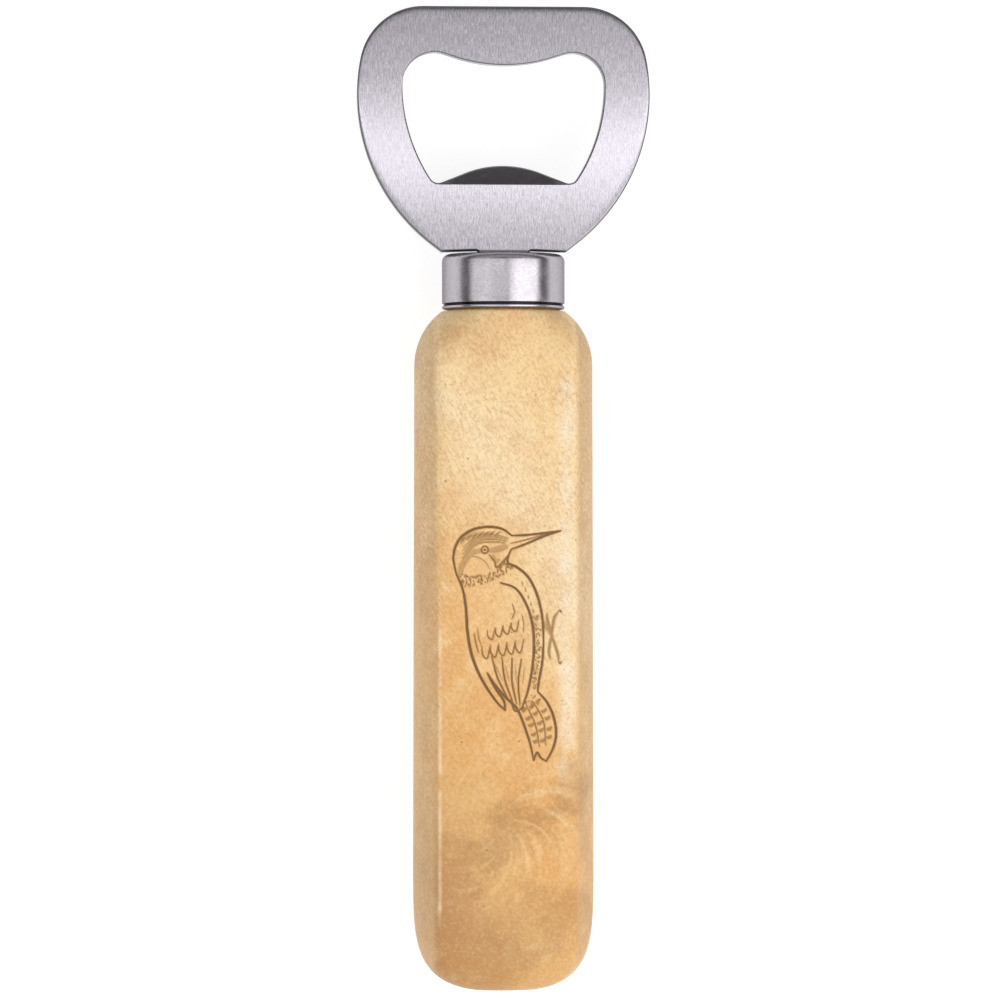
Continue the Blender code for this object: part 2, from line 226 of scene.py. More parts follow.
# %% Matched outlines
outer_half = np.vstack([
    spread(plate_side, SIDE_COLUMNS)[:-1],
    spread(np.array([plate_side[-1], tang_root]), SHOULDER_COLUMNS)[:-1],
    spread(tang_side, TANG_COLUMNS),
])
over_tang = np.argmax(arch[:, 0] < TANG_HALF - 0.5 * MM)
inner_half = np.vstack([
    spread(mouth_side, SIDE_COLUMNS)[:-1],
    spread(arch[:over_tang + 1], SHOULDER_COLUMNS)[:-1],
    spread(arch[over_tang:], TANG_COLUMNS),
])
LIP_COLUMNS = SHOULDER_COLUMNS + TANG_COLUMNS - 1


def both_halves(half):
    """Add the mirror image of a right half that starts and ends on the middle line."""
    return np.vstack([half, half[-2:0:-1] * [-1, 1]])


def inward(outline, towards_middle):
    """Unit vectors square to a closed outline, from differences of its neighbours."""
    along = np.roll(outline, -1, axis=0) - np.roll(outline, 1, axis=0)
    square = np.column_stack([along[:, 1], -along[:, 0]])
    square /= np.linalg.norm(square, axis=1, keepdims=True)
    return square if towards_middle else -square


outer, inner = both_halves(outer_half), both_halves(inner_half)
outer_in, inner_in = inward(outer, True), inward(inner, False)
print(len(outer), "columns round the head")

# %% [markdown]
# The lip is a fold: in front of it the plate's face drops back from a straight crease, and behind
# it the metal stands proud. Both faces of the plate are therefore heights over the outline. Front:
# half the plate, less the slope times the distance past the crease. Back: the same thickness lower,
# plus a smooth step. Only the columns that end on the lip take part, so the arms stay flat.

# %% Heights of the two faces
LIP_SLOPE = math.tan(math.radians(38))
LIP_BACK = 1.1 * MM
LIP_STARTS = 0.14
crease_y = mouth_corner[1] - 0.2 * MM
lip_half = np.zeros(len(inner_half))
along_arch = np.linspace(0, 1, LIP_COLUMNS)
lip_half[-LIP_COLUMNS:] = np.clip(along_arch / LIP_STARTS, 0, 1)
lip_share = np.concatenate([lip_half, lip_half[-2:0:-1]])


def smooth(value, low, high):
    """0 below low, 1 above high, and 3t^2 - 2t^3 between them."""
    t = np.clip((value - low) / (high - low), 0, 1)
    return t * t * (3 - 2 * t)


def front_height(flat):
    """Half the plate, less the slope past the crease."""
    return PLATE / 2 - LIP_SLOPE * np.maximum(flat[..., 1] - crease_y, 0) * lip_share


def back_height(flat):
    """The same thickness lower, and LIP_BACK lower still behind the middle of the lip."""
    ends = 1 - smooth(np.abs(flat[..., 0]), 6.2 * MM, 9.4 * MM)
    step = smooth(flat[..., 1], crease_y - 0.1 * MM, crease_y + 2.2 * MM)
    return -PLATE / 2 - LIP_BACK * step * ends * lip_share


# %% [markdown]
# The rows of one face run from the mouth to the outer edge. Some lie close together at the crease
# and beside each edge, because smooth shading blends the direction of neighbouring faces, and a
# close row keeps that blend narrow. Towards the outside the face sinks by a hair, as a belt
# rounds the rim of a plate, and at each edge a quarter circle rolls the face into the wall.

# %% Rows of a face
INNER_ROLL, OUTER_ROLL = 0.22 * MM, 0.34 * MM
RIM_SINK, RIM_WIDTH = 0.011 * MM, 0.9 * MM
GUARD = 0.06 * MM
ROLL_ROWS, LIP_ROWS = 6, 6

rim_half = np.zeros(len(outer_half))
rim_half[:SIDE_COLUMNS] = 1 - smooth(np.arange(SIDE_COLUMNS), SIDE_COLUMNS - 24, SIDE_COLUMNS - 4)
rim_share = np.concatenate([rim_half, rim_half[-2:0:-1]])


def unit(vectors):
    """The same directions at length 1."""
    return vectors / np.linalg.norm(vectors, axis=1, keepdims=True)


def face_rows():
    """Flat places of a face's rows, mouth first, and how deep each one sinks near the rim."""
    start, end = inner + inner_in * INNER_ROLL, outer + outer_in * OUTER_ROLL
    on_lip = (lip_share > 0) & (start[:, 1] > crease_y + GUARD)
    crease = start + unit(end - start) * GUARD
    crease[on_lip] = np.column_stack([start[on_lip, 0] * 1.01, np.full(on_lip.sum(), crease_y)])
    towards = unit(end - crease)
    rows = [start + (crease - start) * t for t in (0, 0.03, 0.3, 0.6, 0.9, 0.98, 1)]
    assert len(rows) == LIP_ROWS + 1
    rows.append(crease + towards * GUARD)
    rim = end - towards * np.minimum(RIM_WIDTH, np.linalg.norm(end - crease, axis=1) / 2)[:, None]
    rows += [crease + (rim - crease) * t for t in np.linspace(0.06, 1, 10)]
    sinks = [0 * rim_share] * len(rows)
    for t in (0.3, 0.55, 0.75, 0.9, 1):
        rows.append(rim + (end - rim) * t)
        sinks.append(RIM_SINK * t * t * rim_share)
    return rows, sinks


# %% [markdown]
# Now the whole ring of rows: up the mouth's roll, across the front, over the outer edge, back
# across the rear face and down to the mouth again.

# %% The head's surface
def roll_rows(outline, into, size, height, sign, sink, opening):
    """Quarter circle from a face into a wall: offset r (1 - sin a), drop r (1 - cos a)."""
    angles = np.linspace(0, math.pi / 2, ROLL_ROWS + 1)[1:]
    if opening:
        angles = angles[::-1]
    rows = []
    for angle in angles:
        flat = outline + into * size * (1 - math.sin(angle))
        drop = sink + size * (1 - math.cos(angle))
        rows.append(np.column_stack([flat, height(flat) - sign * drop]))
    return rows


def make_head():
    """A tyre of rings: mouth roll, front, outer roll, outer wall, rear roll, back, mouth wall."""
    flats, sinks = face_rows()
    front = [np.column_stack([flat, front_height(flat) - sink]) for flat, sink in zip(flats, sinks)]
    back = [np.column_stack([flat, back_height(flat) + sink]) for flat, sink in zip(flats, sinks)][::-1]
    rows = roll_rows(inner, inner_in, INNER_ROLL, front_height, 1, 0, True) + front
    rows += roll_rows(outer, outer_in, OUTER_ROLL, front_height, 1, RIM_SINK * rim_share, False)
    rows += roll_rows(outer, outer_in, OUTER_ROLL, back_height, -1, RIM_SINK * rim_share, True) + back
    rows += roll_rows(inner, inner_in, INNER_ROLL, back_height, -1, 0, False)
    rings = np.array(rows) + [0, END_Y, AXIS_Z]
    head = ring_mesh("steel_head", rings, tyre=True)
    face_outwards(head)
    return head


head = make_head()

# %% [markdown]
# Brushed steel spreads light across its scratches, not along them. The shader needs to know which
# way they run, and it takes that from a UV map: V runs along the scratches and U across them. On
# the plate that is along Y. The lip's face was scratched the other way by its punch, so there the
# two are swapped. A little of Z is added to each, so that the walls have a direction too.

# %% Which way the brushing runs
def store_brushing(piece):
    """UV = (x + z / 2, y + z / 2) times ten, or (y, -x) times ten where a face belongs to the lip."""
    mesh = piece.data
    points = np.empty(len(mesh.vertices) * 3)
    mesh.vertices.foreach_get("co", points)
    corners = np.empty(len(mesh.loops), dtype=np.int32)
    mesh.loops.foreach_get("vertex_index", corners)
    x, y, z = points.reshape(-1, 3)[corners].T
    middles = np.empty(len(mesh.polygons) * 3)
    mesh.polygons.foreach_get("center", middles)
    middle_x, middle_y, middle_z = middles.reshape(-1, 3).T
    past_crease = (middle_y - END_Y > crease_y) & (middle_y - END_Y < crease_y + 4 * MM)
    facing = (middle_z < AXIS_Z + PLATE / 2 - 0.02 * MM) & (middle_z > AXIS_Z - PLATE / 2)
    lip = np.repeat(past_crease & facing & (np.abs(middle_x) < mouth_corner[0]), 4)
    flat = np.column_stack([np.where(lip, y, x + z / 2), np.where(lip, -x, y + z / 2)]) * 10
    layer = mesh.uv_layers.new(name="along the brushing")
    layer.data.foreach_set("uv", flat.ravel())
    print("lip faces:", int(lip.sum() / 4))


store_brushing(head)


def store_mark(piece, name, values):
    """A number between 0 and 1 on every point."""
    layer = piece.data.attributes.new(name, "FLOAT", "POINT")
    layer.data.foreach_set("value", np.asarray(values, dtype=np.float32))


# %% [markdown]
# The edges never met the belt. A press punched them out, and sheared steel is dull and darker than
# a brushed face. So every point also gets a mark, which is 1 on the rows of the walls and about a
# half on the lip's face, which the die wiped on its way down.

# %% Where the metal was sheared
LIP_DULLNESS = 0.55


def store_sheared(piece):
    """Each roll goes smoothly from 0 beside its face to 1 halfway into the wall."""
    roll = smooth(np.linspace(15, 90, ROLL_ROWS), 5, 50)
    flat = np.zeros(len(face_rows()[0]))
    rows = np.concatenate([roll[::-1], flat, roll, roll[::-1], flat, roll])
    marks = np.repeat(rows[:, None], len(outer), axis=1)
    marks[ROLL_ROWS:ROLL_ROWS + LIP_ROWS, lip_share > 0] = LIP_DULLNESS
    store_mark(piece, "sheared", marks.ravel())
    print("sheared rows:", int((rows > 0.5).sum()), "of", len(rows))


store_sheared(head)

# %% [markdown]
# ## The ferrule
# The ferrule is a small cup drawn from thin sheet, with a slot in its closed end for the tang. It
# is a profile turned round the axis, but the slot is a rectangle. So each ring is a blend: the
# rectangle at the slot, the circle from the shoulder on. The rings run out over the closed end,
# down the wall, over the groove that was rolled in above the mouth, and back up the inside.

# %% The ferrule's rings
WALL = 0.8 * MM
SHOULDER_R = 1.1 * MM
GROOVE_UP = 0.72 * MM
GROOVE_DEEP = 0.32 * MM
GROOVE_HALF = 0.30 * MM
SLOT_HALF_X, SLOT_HALF_Z = TANG_HALF + GAP, PLATE / 2 + GAP


def slot_angles(per_side):
    """Angles round the axis that include the slot's four corners."""
    corner = math.atan2(SLOT_HALF_Z, SLOT_HALF_X)
    stops = [-corner, corner, math.pi - corner, math.pi + corner, 2 * math.pi - corner]
    return np.concatenate([np.linspace(a, b, per_side + 1)[:-1] for a, b in zip(stops, stops[1:])])


def ring_radii(angles, radius, slot_share):
    """Radius at each angle: the slot's rectangle min(a / |cos|, b / |sin|), blended to a circle."""
    flat = np.minimum(
        SLOT_HALF_X / np.maximum(np.abs(np.cos(angles)), 1e-6),
        SLOT_HALF_Z / np.maximum(np.abs(np.sin(angles)), 1e-6),
    )
    return flat * slot_share + radius * (1 - slot_share)


def ferrule_profile():
    """(radius, y, share of the slot's shape) from the slot's outer edge round to its inner edge."""
    low, top = ferrule_low[1], ferrule_high[1]
    radius, inside = FERRULE_R, FERRULE_R - WALL
    end_r = radius - SHOULDER_R
    turn = np.linspace(0, math.pi / 2, 9)
    profile = [(end_r, top, share) for share in (1, 0.97, 0.6, 0.25, 0)]
    profile += [
        (end_r + SHOULDER_R * math.sin(a), top - SHOULDER_R * (1 - math.cos(a)), 0) for a in turn[1:]
    ]
    groove_y = low + GROOVE_UP
    groove = np.linspace(-1, 1, 11)
    profile += [(radius, y, 0) for y in np.linspace(top - SHOULDER_R, groove_y + GROOVE_HALF, 8)[1:-1]]
    profile += [
        (radius - GROOVE_DEEP * math.cos(s * math.pi / 2) ** 2, groove_y - s * GROOVE_HALF, 0)
        for s in groove
    ]
    lip = np.linspace(0, math.pi, 13)
    round_r = WALL / 2
    profile += [(inside + round_r * (1 + math.cos(a)), low + round_r * (1 - math.sin(a)), 0) for a in lip]
    profile += [(inside, y, 0) for y in np.linspace(low + round_r, top - WALL - 0.3 * MM, 6)[1:]]
    profile += [(inside - 0.3 * MM, top - WALL, 0)]
    profile += [(end_r, top - WALL, share) for share in (0.25, 0.6, 0.97, 1)]
    return profile


def make_ferrule():
    """Rings of the profile: x = r cos a, z = axis + r sin a at each y."""
    angles = slot_angles(48)
    rings = []
    for radius, y, share in ferrule_profile():
        radii = ring_radii(angles, radius, share)
        height = AXIS_Z + radii * np.sin(angles)
        rings.append(np.column_stack([radii * np.cos(angles), np.full(len(angles), y), height]))
    ferrule = ring_mesh("steel_ferrule", np.array(rings), tyre=True)
    face_outwards(ferrule)
    return ferrule


ferrule = make_ferrule()

# %% [markdown]
# ## The engraving
# A laser has burnt a perched bird into the front of the handle. This one is drawn here from
# nothing but strokes: a few points each, joined by a smooth curve, with a width that tapers to
# the ends. All are in millimetres from the middle of the drawing, X to the right, Y to the head
# end. A stroke also has a tone: 1 for the deep outlines, less for shallow shading.

# %% Smooth strokes
def curve_through(points, spacing=0.05):
    """Catmull-Rom curve: between p1 and p2, half of (2 p1 + (p2 - p0) t + ... t^2 + ... t^3)."""
    knots = np.array(points, dtype=float)
    knots = np.vstack([2 * knots[0] - knots[1], knots, 2 * knots[-1] - knots[-2]])
    pieces = []
    for p0, p1, p2, p3 in zip(knots, knots[1:], knots[2:], knots[3:]):
        count = max(2, math.ceil(float(np.linalg.norm(p2 - p1)) / spacing))
        t = np.linspace(0, 1, count, endpoint=False)[:, None]
        pieces.append(
            0.5 * (2 * p1 + (p2 - p0) * t + (2 * p0 - 5 * p1 + 4 * p2 - p3) * t ** 2
                   + (3 * p1 - p0 - 3 * p2 + p3) * t ** 3)
        )
    return np.vstack(pieces + [knots[-2:-1]])


strokes = []


def stroke(points, width=0.4, tone=1.0, taper=0.35):
    """Keep a stroke; its half width falls from full to (1 - taper) of full at both ends."""
    line = curve_through(points)
    along = np.linspace(-1, 1, len(line))
    half = width / 2 * (1 - taper * np.abs(along) ** 3)
    strokes.append((line, half, tone))


def mirrored_pair(first, second, share):
    """Points part of the way from one line to another, both given by the same number of points."""
    return [(a[0] + (b[0] - a[0]) * share, a[1] + (b[1] - a[1]) * share) for a, b in zip(first, second)]


# %% [markdown]
# The outline comes first: bill, crown and back, throat and breast, then the folded wing and the
# tail. The bird clings upright, so its back runs down the left and its feet are on the right.

# %% Outline of the bird
stroke([(1.1, 16.5), (3.6, 16.6), (6.2, 16.9), (8.5, 17.2)], 0.36)
stroke([(1.0, 14.4), (3.4, 15.3), (6.0, 16.4), (8.5, 17.2)], 0.36)
stroke([(0.9, 15.3), (3.4, 15.9), (6.6, 16.8)], 0.24, 0.8)
crown = [(1.1, 16.5), (-0.4, 17.5), (-2.6, 17.8), (-5.0, 17.3), (-6.9, 15.8), (-7.7, 13.4), (-7.3, 10.8)]
stroke(crown, 0.42)
back = [(-7.3, 10.8), (-6.3, 8.4), (-5.8, 5.4), (-5.6, 2.2), (-4.9, -1.6), (-3.4, -5.2), (-1.3, -8.4)]
stroke(back + [(0.1, -9.8)], 0.46)
stroke([(0.1, -9.8), (-0.1, -8.4), (-1.3, -6.6), (-2.6, -4.2)], 0.42)
breast = [(1.0, 14.4), (0.6, 13.4), (0.5, 12.4), (1.9, 11.7), (3.6, 10.2), (4.9, 7.6), (5.7, 4.2)]
stroke(breast + [(5.9, 0.6)], 0.42)
stroke([(5.9, 0.6), (5.7, -2.6), (5.2, -5.4), (5.0, -7.0)], 0.4)
tail_back = [(-2.6, -4.2), (-1.4, -6.0), (0.3, -8.0), (1.9, -9.6), (3.0, -12.2), (3.9, -15.0), (4.4, -17.4)]
stroke(tail_back, 0.4)
stroke([(5.0, -7.0), (6.4, -8.6), (7.4, -10.8), (7.8, -13.4), (7.3, -15.6), (6.3, -17.5)], 0.42)
stroke([(4.4, -17.4), (4.9, -16.2), (5.5, -17.0), (6.3, -17.5)], 0.34)

# %% [markdown]
# The head has a shaded crown, an eye with a stripe through it and a bare cheek. Short dashes
# follow the crown, and the collar is stippled with dots inside a band between two lines.

# %% The head's markings
crown_front = [(0.6, 16.1), (-1.6, 16.6), (-4.0, 16.4), (-6.2, 14.8)]
crown_back = [(0.0, 15.3), (-1.8, 15.5), (-4.2, 15.1), (-6.4, 13.0)]
for share in (0.0, 0.3, 0.62, 0.95):
    stroke(mirrored_pair(crown_front, crown_back, share), 0.30, 0.62)
for start in range(7):
    x = -0.6 - 0.85 * start
    y = 17.1 - 0.035 * (start - 1) ** 2
    stroke([(x, y), (x - 0.5, y - 0.28), (x - 0.8, y - 0.7)], 0.22, 0.85)
stroke([(0.4, 14.9), (-0.9, 14.5), (-2.2, 14.2)], 1.0, 0.45, 0.5)
stroke([(-3.6, 14.3), (-5.0, 13.8), (-6.3, 12.2), (-6.8, 10.4)], 1.0, 0.45, 0.3)
stroke([(-1.8, 13.5), (-1.3, 12.6), (-0.8, 12.9)], 0.7, 0.45, 0.5)
for reach in (0.8, 2.2, 3.4):
    stroke([(-0.9 - reach, 17.0), (-2.2 - reach, 16.5), (-3.2 - reach, 15.4)], 0.75, 0.4, 0.6)
eye = [(math.cos(a) * 0.52 - 2.95, math.sin(a) * 0.52 + 14.35) for a in np.linspace(0, 2 * math.pi, 9)]
stroke(eye, 0.24, 1.0, 0)
stroke([(-3.0, 14.35), (-2.9, 14.35)], 0.36, 1.0, 0)
stroke([(-2.3, 13.6), (-1.5, 12.6), (-1.2, 11.7), (-0.3, 12.5), (0.5, 13.5)], 0.34, 0.8)
stroke([(-5.7, 13.2), (-4.2, 13.3), (-2.9, 12.5), (-2.2, 11.4)], 0.2, 0.6)

rng = np.random.default_rng(7)


def stipple(first, second, count, size=0.2):
    """Short random dashes between two lines that are given by the same number of points."""
    low, high = curve_through(first, 0.1), curve_through(second, 0.1)
    picks = rng.random((count, 2))
    for pick, share in picks:
        a, b = low[int(pick * (len(low) - 1))], high[int(pick * (len(high) - 1))]
        x, y = a + (b - a) * share
        lean = rng.uniform(-0.10, 0.10)
        stroke([(x, y), (x + lean, y - 0.16)], size, 0.8, 0)


collar_top = [(0.2, 12.4), (-2.0, 11.0), (-5.0, 10.6), (-7.0, 11.0)]
collar_foot = [(1.4, 11.6), (-2.2, 9.7), (-5.0, 8.9), (-6.3, 8.6)]
stipple(collar_top, collar_foot, 120)
stipple([(0.6, 13.4), (0.7, 12.4)], [(-0.6, 12.2), (-1.2, 11.2)], 20)

# %% [markdown]
# The folded wing has three rows of feathers. The small ones lie like roof tiles, so each row is a
# run of arcs; below them the long flight feathers run down to the tip as nearly parallel lines.

# %% The wing
wing_front = [(-0.6, 9.4), (1.8, 8.4), (3.6, 5.4), (4.4, 1.6), (4.3, -2.6), (3.6, -6.6), (2.6, -9.6)]
stroke(wing_front, 0.42)
stroke([(2.6, -9.6), (1.6, -9.9), (0.9, -8.2)], 0.34, 0.9)


def tile_row(start, end, count, drop):
    """A row of scallops from start to end, each hanging down by drop."""
    xs, ys = np.linspace(start[0], end[0], count + 1), np.linspace(start[1], end[1], count + 1)
    for x0, y0, x1, y1 in zip(xs, ys, xs[1:], ys[1:]):
        middle = ((x0 + x1) / 2 + 0.15, (y0 + y1) / 2 - drop)
        bulge = (x0 * 0.75 + middle[0] * 0.25 - 0.1, (y0 + 2 * middle[1]) / 3)
        stroke([(x0, y0), bulge, middle, (x1, y1)], 0.26, 0.85)


tile_row((-2.6, 2.2), (2.2, 3.8), 4, 1.5)
tile_row((-3.4, -0.2), (2.9, 0.9), 5, 1.9)
for share in (0.18, 0.4, 0.62, 0.82):
    top = (-3.2 + 7.0 * share, -1.6 - 0.6 * share)
    foot = (0.2 + 2.6 * share, -8.2 - 1.0 * share)
    halfway_x, halfway_y = (top[0] + foot[0]) / 2, (top[1] + foot[1]) / 2
    stroke([top, (halfway_x - 0.35, halfway_y), foot], 0.32, 0.9)
    stroke([(top[0] + 0.5, top[1] - 1.2), (halfway_x + 0.3, halfway_y - 0.2)], 0.2, 0.6)
stroke([(-4.6, 1.8), (-4.3, 0.2), (-3.9, -1.2)], 0.26, 0.8)
stroke([(-4.1, 2.6), (-3.9, 1.2), (-3.5, -0.2)], 0.22, 0.7)
stroke([(1.2, 6.2), (1.5, 5.0), (1.1, 3.9)], 0.24, 0.8)
stroke([(2.6, 4.6), (2.9, 3.2), (2.8, 1.9)], 0.22, 0.7)
flank_inside = [(3.7, 4.6), (4.5, 1.0), (4.4, -3.0), (3.6, -7.0)]
flank_outside = [(5.2, 4.6), (5.6, 1.0), (5.4, -3.0), (4.7, -7.0)]
stipple(flank_inside, flank_outside, 90, 0.19)
for step in range(7):
    y = 9.6 - 1.05 * step
    x = 2.4 + 2.4 * math.sin(0.2 * step + 0.1)
    stroke([(x, y), (x + 0.12, y - 0.55)], 0.22, 0.7)

# %% [markdown]
# The tail is stiff, with dark bars across its feathers, and two small feet hold on at the right.

# %% Tail and feet
tail_left = [(2.2, -9.8), (3.3, -12.4), (4.3, -15.6)]
tail_right = [(5.4, -7.8), (7.2, -11.0), (7.2, -14.8)]
for share in (0.34, 0.66):
    stroke(mirrored_pair(tail_left, tail_right, share), 0.26, 0.8)
for row, shift in enumerate((0.04, 0.24, 0.44, 0.64, 0.84)):
    for share in (0.1, 0.42, 0.74):
        a = curve_through(mirrored_pair(tail_left, tail_right, share))
        b = curve_through(mirrored_pair(tail_left, tail_right, share + 0.2))
        place = shift + 0.03 * ((row + round(share * 3)) % 2)
        p, q = a[int(place * (len(a) - 1))], b[int(place * (len(b) - 1))]
        stroke([tuple(p), tuple((p + q) / 2 + [0.0, -0.2]), tuple(q)], 0.58, 0.62, 0.6)
stipple([(2.0, -9.0), (4.8, -7.4)], [(2.8, -10.4), (5.6, -8.6)], 26)

stroke([(5.9, 3.4), (6.6, 2.4), (7.2, 1.3)], 0.74, 0.5, 0.2)
for reach in ((7.5, 4.0, 8.1, 5.0), (6.5, 3.7, 6.4, 4.8), (8.0, -1.2, 8.2, -2.5), (6.7, -0.8, 6.9, -2.1)):
    stroke([(7.1, 1.5), reach[:2], reach[2:]], 0.50, 0.62, 0.5)
stroke([(8.1, 5.0), (8.4, 5.2), (8.6, 4.9)], 0.26, 0.9)
stroke([(8.2, -2.5), (8.4, -2.8), (8.6, -2.5)], 0.26, 0.9)
print(len(strokes), "strokes")

# %% [markdown]
# ## The handle
# The handle is turned, then planed flat on front and back, and its butt is sanded round. Seen end
# on, it is a circle-like curve cut by two flats. In polar form the section is the smaller of two
# reaches, t / |sin a| for a flat and a circle's reach for a side, and a smooth minimum rounds the
# crease between them. One surface carries it all, from the butt over the shoulder to the spigot
# and the bore, so the burnt lines can be pressed into it as real grooves.

# %% Spacing that tightens where there is detail
def graded(low, high, spots, width, fine, coarse):
    """Places from low to high whose spacing falls from coarse to fine near each spot.

    The density is 1 / coarse plus a bell of height 1 / fine at each spot. Its running total is
    cut into equal steps.
    """
    fine_grid = np.linspace(low, high, 4001)
    density = np.full_like(fine_grid, 1 / coarse)
    for spot in spots:
        density += np.exp(-((fine_grid - spot) / width) ** 2) / fine
    total = np.concatenate([[0], np.cumsum((density[1:] + density[:-1]) / 2 * np.diff(fine_grid))])
    count = math.ceil(total[-1]) + 1
    return np.interp(np.linspace(0, total[-1], count), total, fine_grid)


# %% [markdown]
# The engraved patch gets an even, fine grid; the rest of the handle gets fewer points, closer
# together only at the creases and the ends.

# %% Rows and columns of the handle
CELL = 0.14 * MM
DRAWING_X, DRAWING_Y = -0.4 * MM, (BUTT_Y + WOOD_TOP_Y) / 2 + 1.17 * MM
PATCH_HALF_X, PATCH_HALF_Y = 8.9 * MM, 18.3 * MM
CREASE_X = 10.4 * MM
SIDE_R = 15.75 * MM
SIDE_SHIFT = SIDE_R - HALF_WIDTH
BUTT_ROUND = 24 * MM
TOP_HALF_WIDTH = HALF_WIDTH - 0.25 * MM
SHOULDER_START_R = 9.5 * MM
SHOULDER_ARC = 10.4 * MM
SPIGOT_R = FERRULE_R - WALL - GAP
SPIGOT_END = ferrule_high[1] - WALL - GAP
BUTT_ALONG, BUTT_ACROSS = 5.4, 2.95
BORE_R = 5.5 * MM
BORE_END = SPIGOT_END - 38 * MM

patch_x = np.arange(DRAWING_X + PATCH_HALF_X, DRAWING_X - PATCH_HALF_X, -CELL)
patch_angles = np.arctan2(HALF_THICK, patch_x)
crease_angle = math.atan2(HALF_THICK, CREASE_X)
creases = [crease_angle, math.pi - crease_angle, math.pi + crease_angle, 2 * math.pi - crease_angle]
rest_angles = graded(
    patch_angles[-1], patch_angles[0] + 2 * math.pi,
    [crease_angle + 2 * math.pi] + creases[1:], math.radians(5), math.radians(0.85), math.radians(4.2),
)
column_angles = np.concatenate([patch_angles, rest_angles[1:-1]])

patch_rows = np.arange(DRAWING_Y - PATCH_HALF_Y, DRAWING_Y + PATCH_HALF_Y, CELL)
print(len(column_angles), "columns;", len(patch_rows), "rows in the engraved patch")

# %% [markdown]
# Going up from the butt, each row has four numbers: its place, how far the butt's rounding shrinks
# it, how much of the full section it has, and the radius of the round blank for the rest.

# %% The section
def soft_min(a, b, k):
    """Smooth minimum: b + (a - b) h - k h (1 - h), with h = 0.5 + (b - a) / 2k held in 0 to 1."""
    h = np.clip(0.5 + (b - a) / (2 * k), 0, 1)
    return b + (a - b) * h - k * h * (1 - h)


def crease_softness(y, x):
    """How wide the crease is rounded over: tight on the right, looser on the left and at the ends."""
    left_loose = 1.3 * MM * smooth(y, -22 * MM, -8 * MM)
    base = 0.42 * MM + np.where(x < 0, left_loose, 0)
    at_butt = 5.5 * MM * (1 - smooth(y, BUTT_Y + 2 * MM, BUTT_Y + 15 * MM))
    at_top = 2.2 * MM * smooth(y, WOOD_TOP_Y - 7 * MM, WOOD_TOP_Y)
    return base + at_butt + at_top


def section(y):
    """Reach of the full section at each column's angle, for each row's y."""
    cosine, sine = np.cos(column_angles), np.sin(column_angles)
    side = -SIDE_SHIFT * np.abs(cosine) + np.sqrt(SIDE_R ** 2 - (SIDE_SHIFT * sine) ** 2)
    low_share = ((WOOD_TOP_Y - y) / (WOOD_TOP_Y - BUTT_Y))[:, None]
    width = TOP_HALF_WIDTH + (HALF_WIDTH - TOP_HALF_WIDTH) * low_share
    side = side * (1 - (1 - width / HALF_WIDTH) * cosine ** 2)
    flat = HALF_THICK / np.maximum(np.abs(sine), 1e-3)
    return soft_min(side, np.minimum(flat, 40 * MM), crease_softness(y[:, None], cosine[None, :]))


# %% [markdown]
# The rows: the butt closes by a superellipse, the body is straight, the shoulder morphs from the
# section to a circle just wider than the ferrule, and the spigot and the bore follow.

# %% Rows from the butt to the bore
def handle_rows():
    """(y, shrink, share of section, radius of the round part) of each row, as four arrays."""
    angle = np.radians(np.linspace(88.6, 0, 30))
    butt_y = BUTT_Y + BUTT_ROUND * (1 - np.sin(angle) ** (2 / BUTT_ALONG))
    shrink = np.cos(angle) ** (2 / BUTT_ACROSS)
    rise = TOP_HALF_WIDTH - SHOULDER_START_R
    start = math.acos(1 - rise / SHOULDER_ARC)
    shoulder_low = WOOD_TOP_Y - SHOULDER_ARC * math.sin(start)
    turn = np.linspace(0, start, 17)
    shoulder_y = shoulder_low + SHOULDER_ARC * np.sin(turn)
    shoulder_share = 1 - SHOULDER_ARC * (1 - np.cos(turn)) / rise
    below = np.linspace(butt_y[-1], patch_rows[0], 8)[1:-1]
    above = np.linspace(patch_rows[-1], shoulder_low, 20)[1:-1]
    body_y = np.concatenate([below, patch_rows, above])
    ones = np.ones_like
    y = np.concatenate([butt_y, body_y, shoulder_y])
    shrinks = np.concatenate([shrink, ones(body_y), ones(shoulder_y)])
    shares = np.concatenate([ones(butt_y), ones(body_y), shoulder_share])
    radii = np.full(len(y), SHOULDER_START_R)
    chamfer = 0.5 * MM
    inner = [
        (WOOD_TOP_Y, SPIGOT_R), (WOOD_TOP_Y + 2.5 * MM, SPIGOT_R), (SPIGOT_END - chamfer, SPIGOT_R),
        (SPIGOT_END, SPIGOT_R - chamfer), (SPIGOT_END, BORE_R), (SPIGOT_END - 12 * MM, BORE_R),
        (SPIGOT_END - 25 * MM, BORE_R), (BORE_END + chamfer, BORE_R), (BORE_END, BORE_R - chamfer),
        (BORE_END, BORE_R / 2),
    ]
    inner_y, inner_r = np.array(inner).T
    y = np.concatenate([y, inner_y])
    shrinks = np.concatenate([shrinks, ones(inner_y)])
    shares = np.concatenate([shares, 0 * inner_y])
    return y, shrinks, shares, np.concatenate([radii, inner_r])


# %% [markdown]
# The drawing becomes a height: at each grid point of the patch, the nearest stroke says how deep
# the laser went. For each stroke only the points near it are measured, all at once.

# %% Strokes to depth
def burnt_depth(x, y):
    """For millimetre places, the strongest tone of any stroke there: soft-edged, 0 to 1."""
    burn = np.zeros_like(x)
    softness = 0.16
    for line, half, tone in strokes:
        margin = half.max() + softness
        low, high = line.min(axis=0) - margin, line.max(axis=0) + margin
        near = np.nonzero((x > low[0]) & (x < high[0]) & (y > low[1]) & (y < high[1]))[0]
        if len(near) == 0:
            continue
        gap = np.hypot(x[near, None] - line[None, :, 0], y[near, None] - line[None, :, 1])
        inside = (half[None, :] - gap).max(axis=1)
        burn[near] = np.maximum(burn[near], tone * smooth(inside, -softness / 2, softness / 2))
    return burn


ENGRAVED = 0.14 * MM


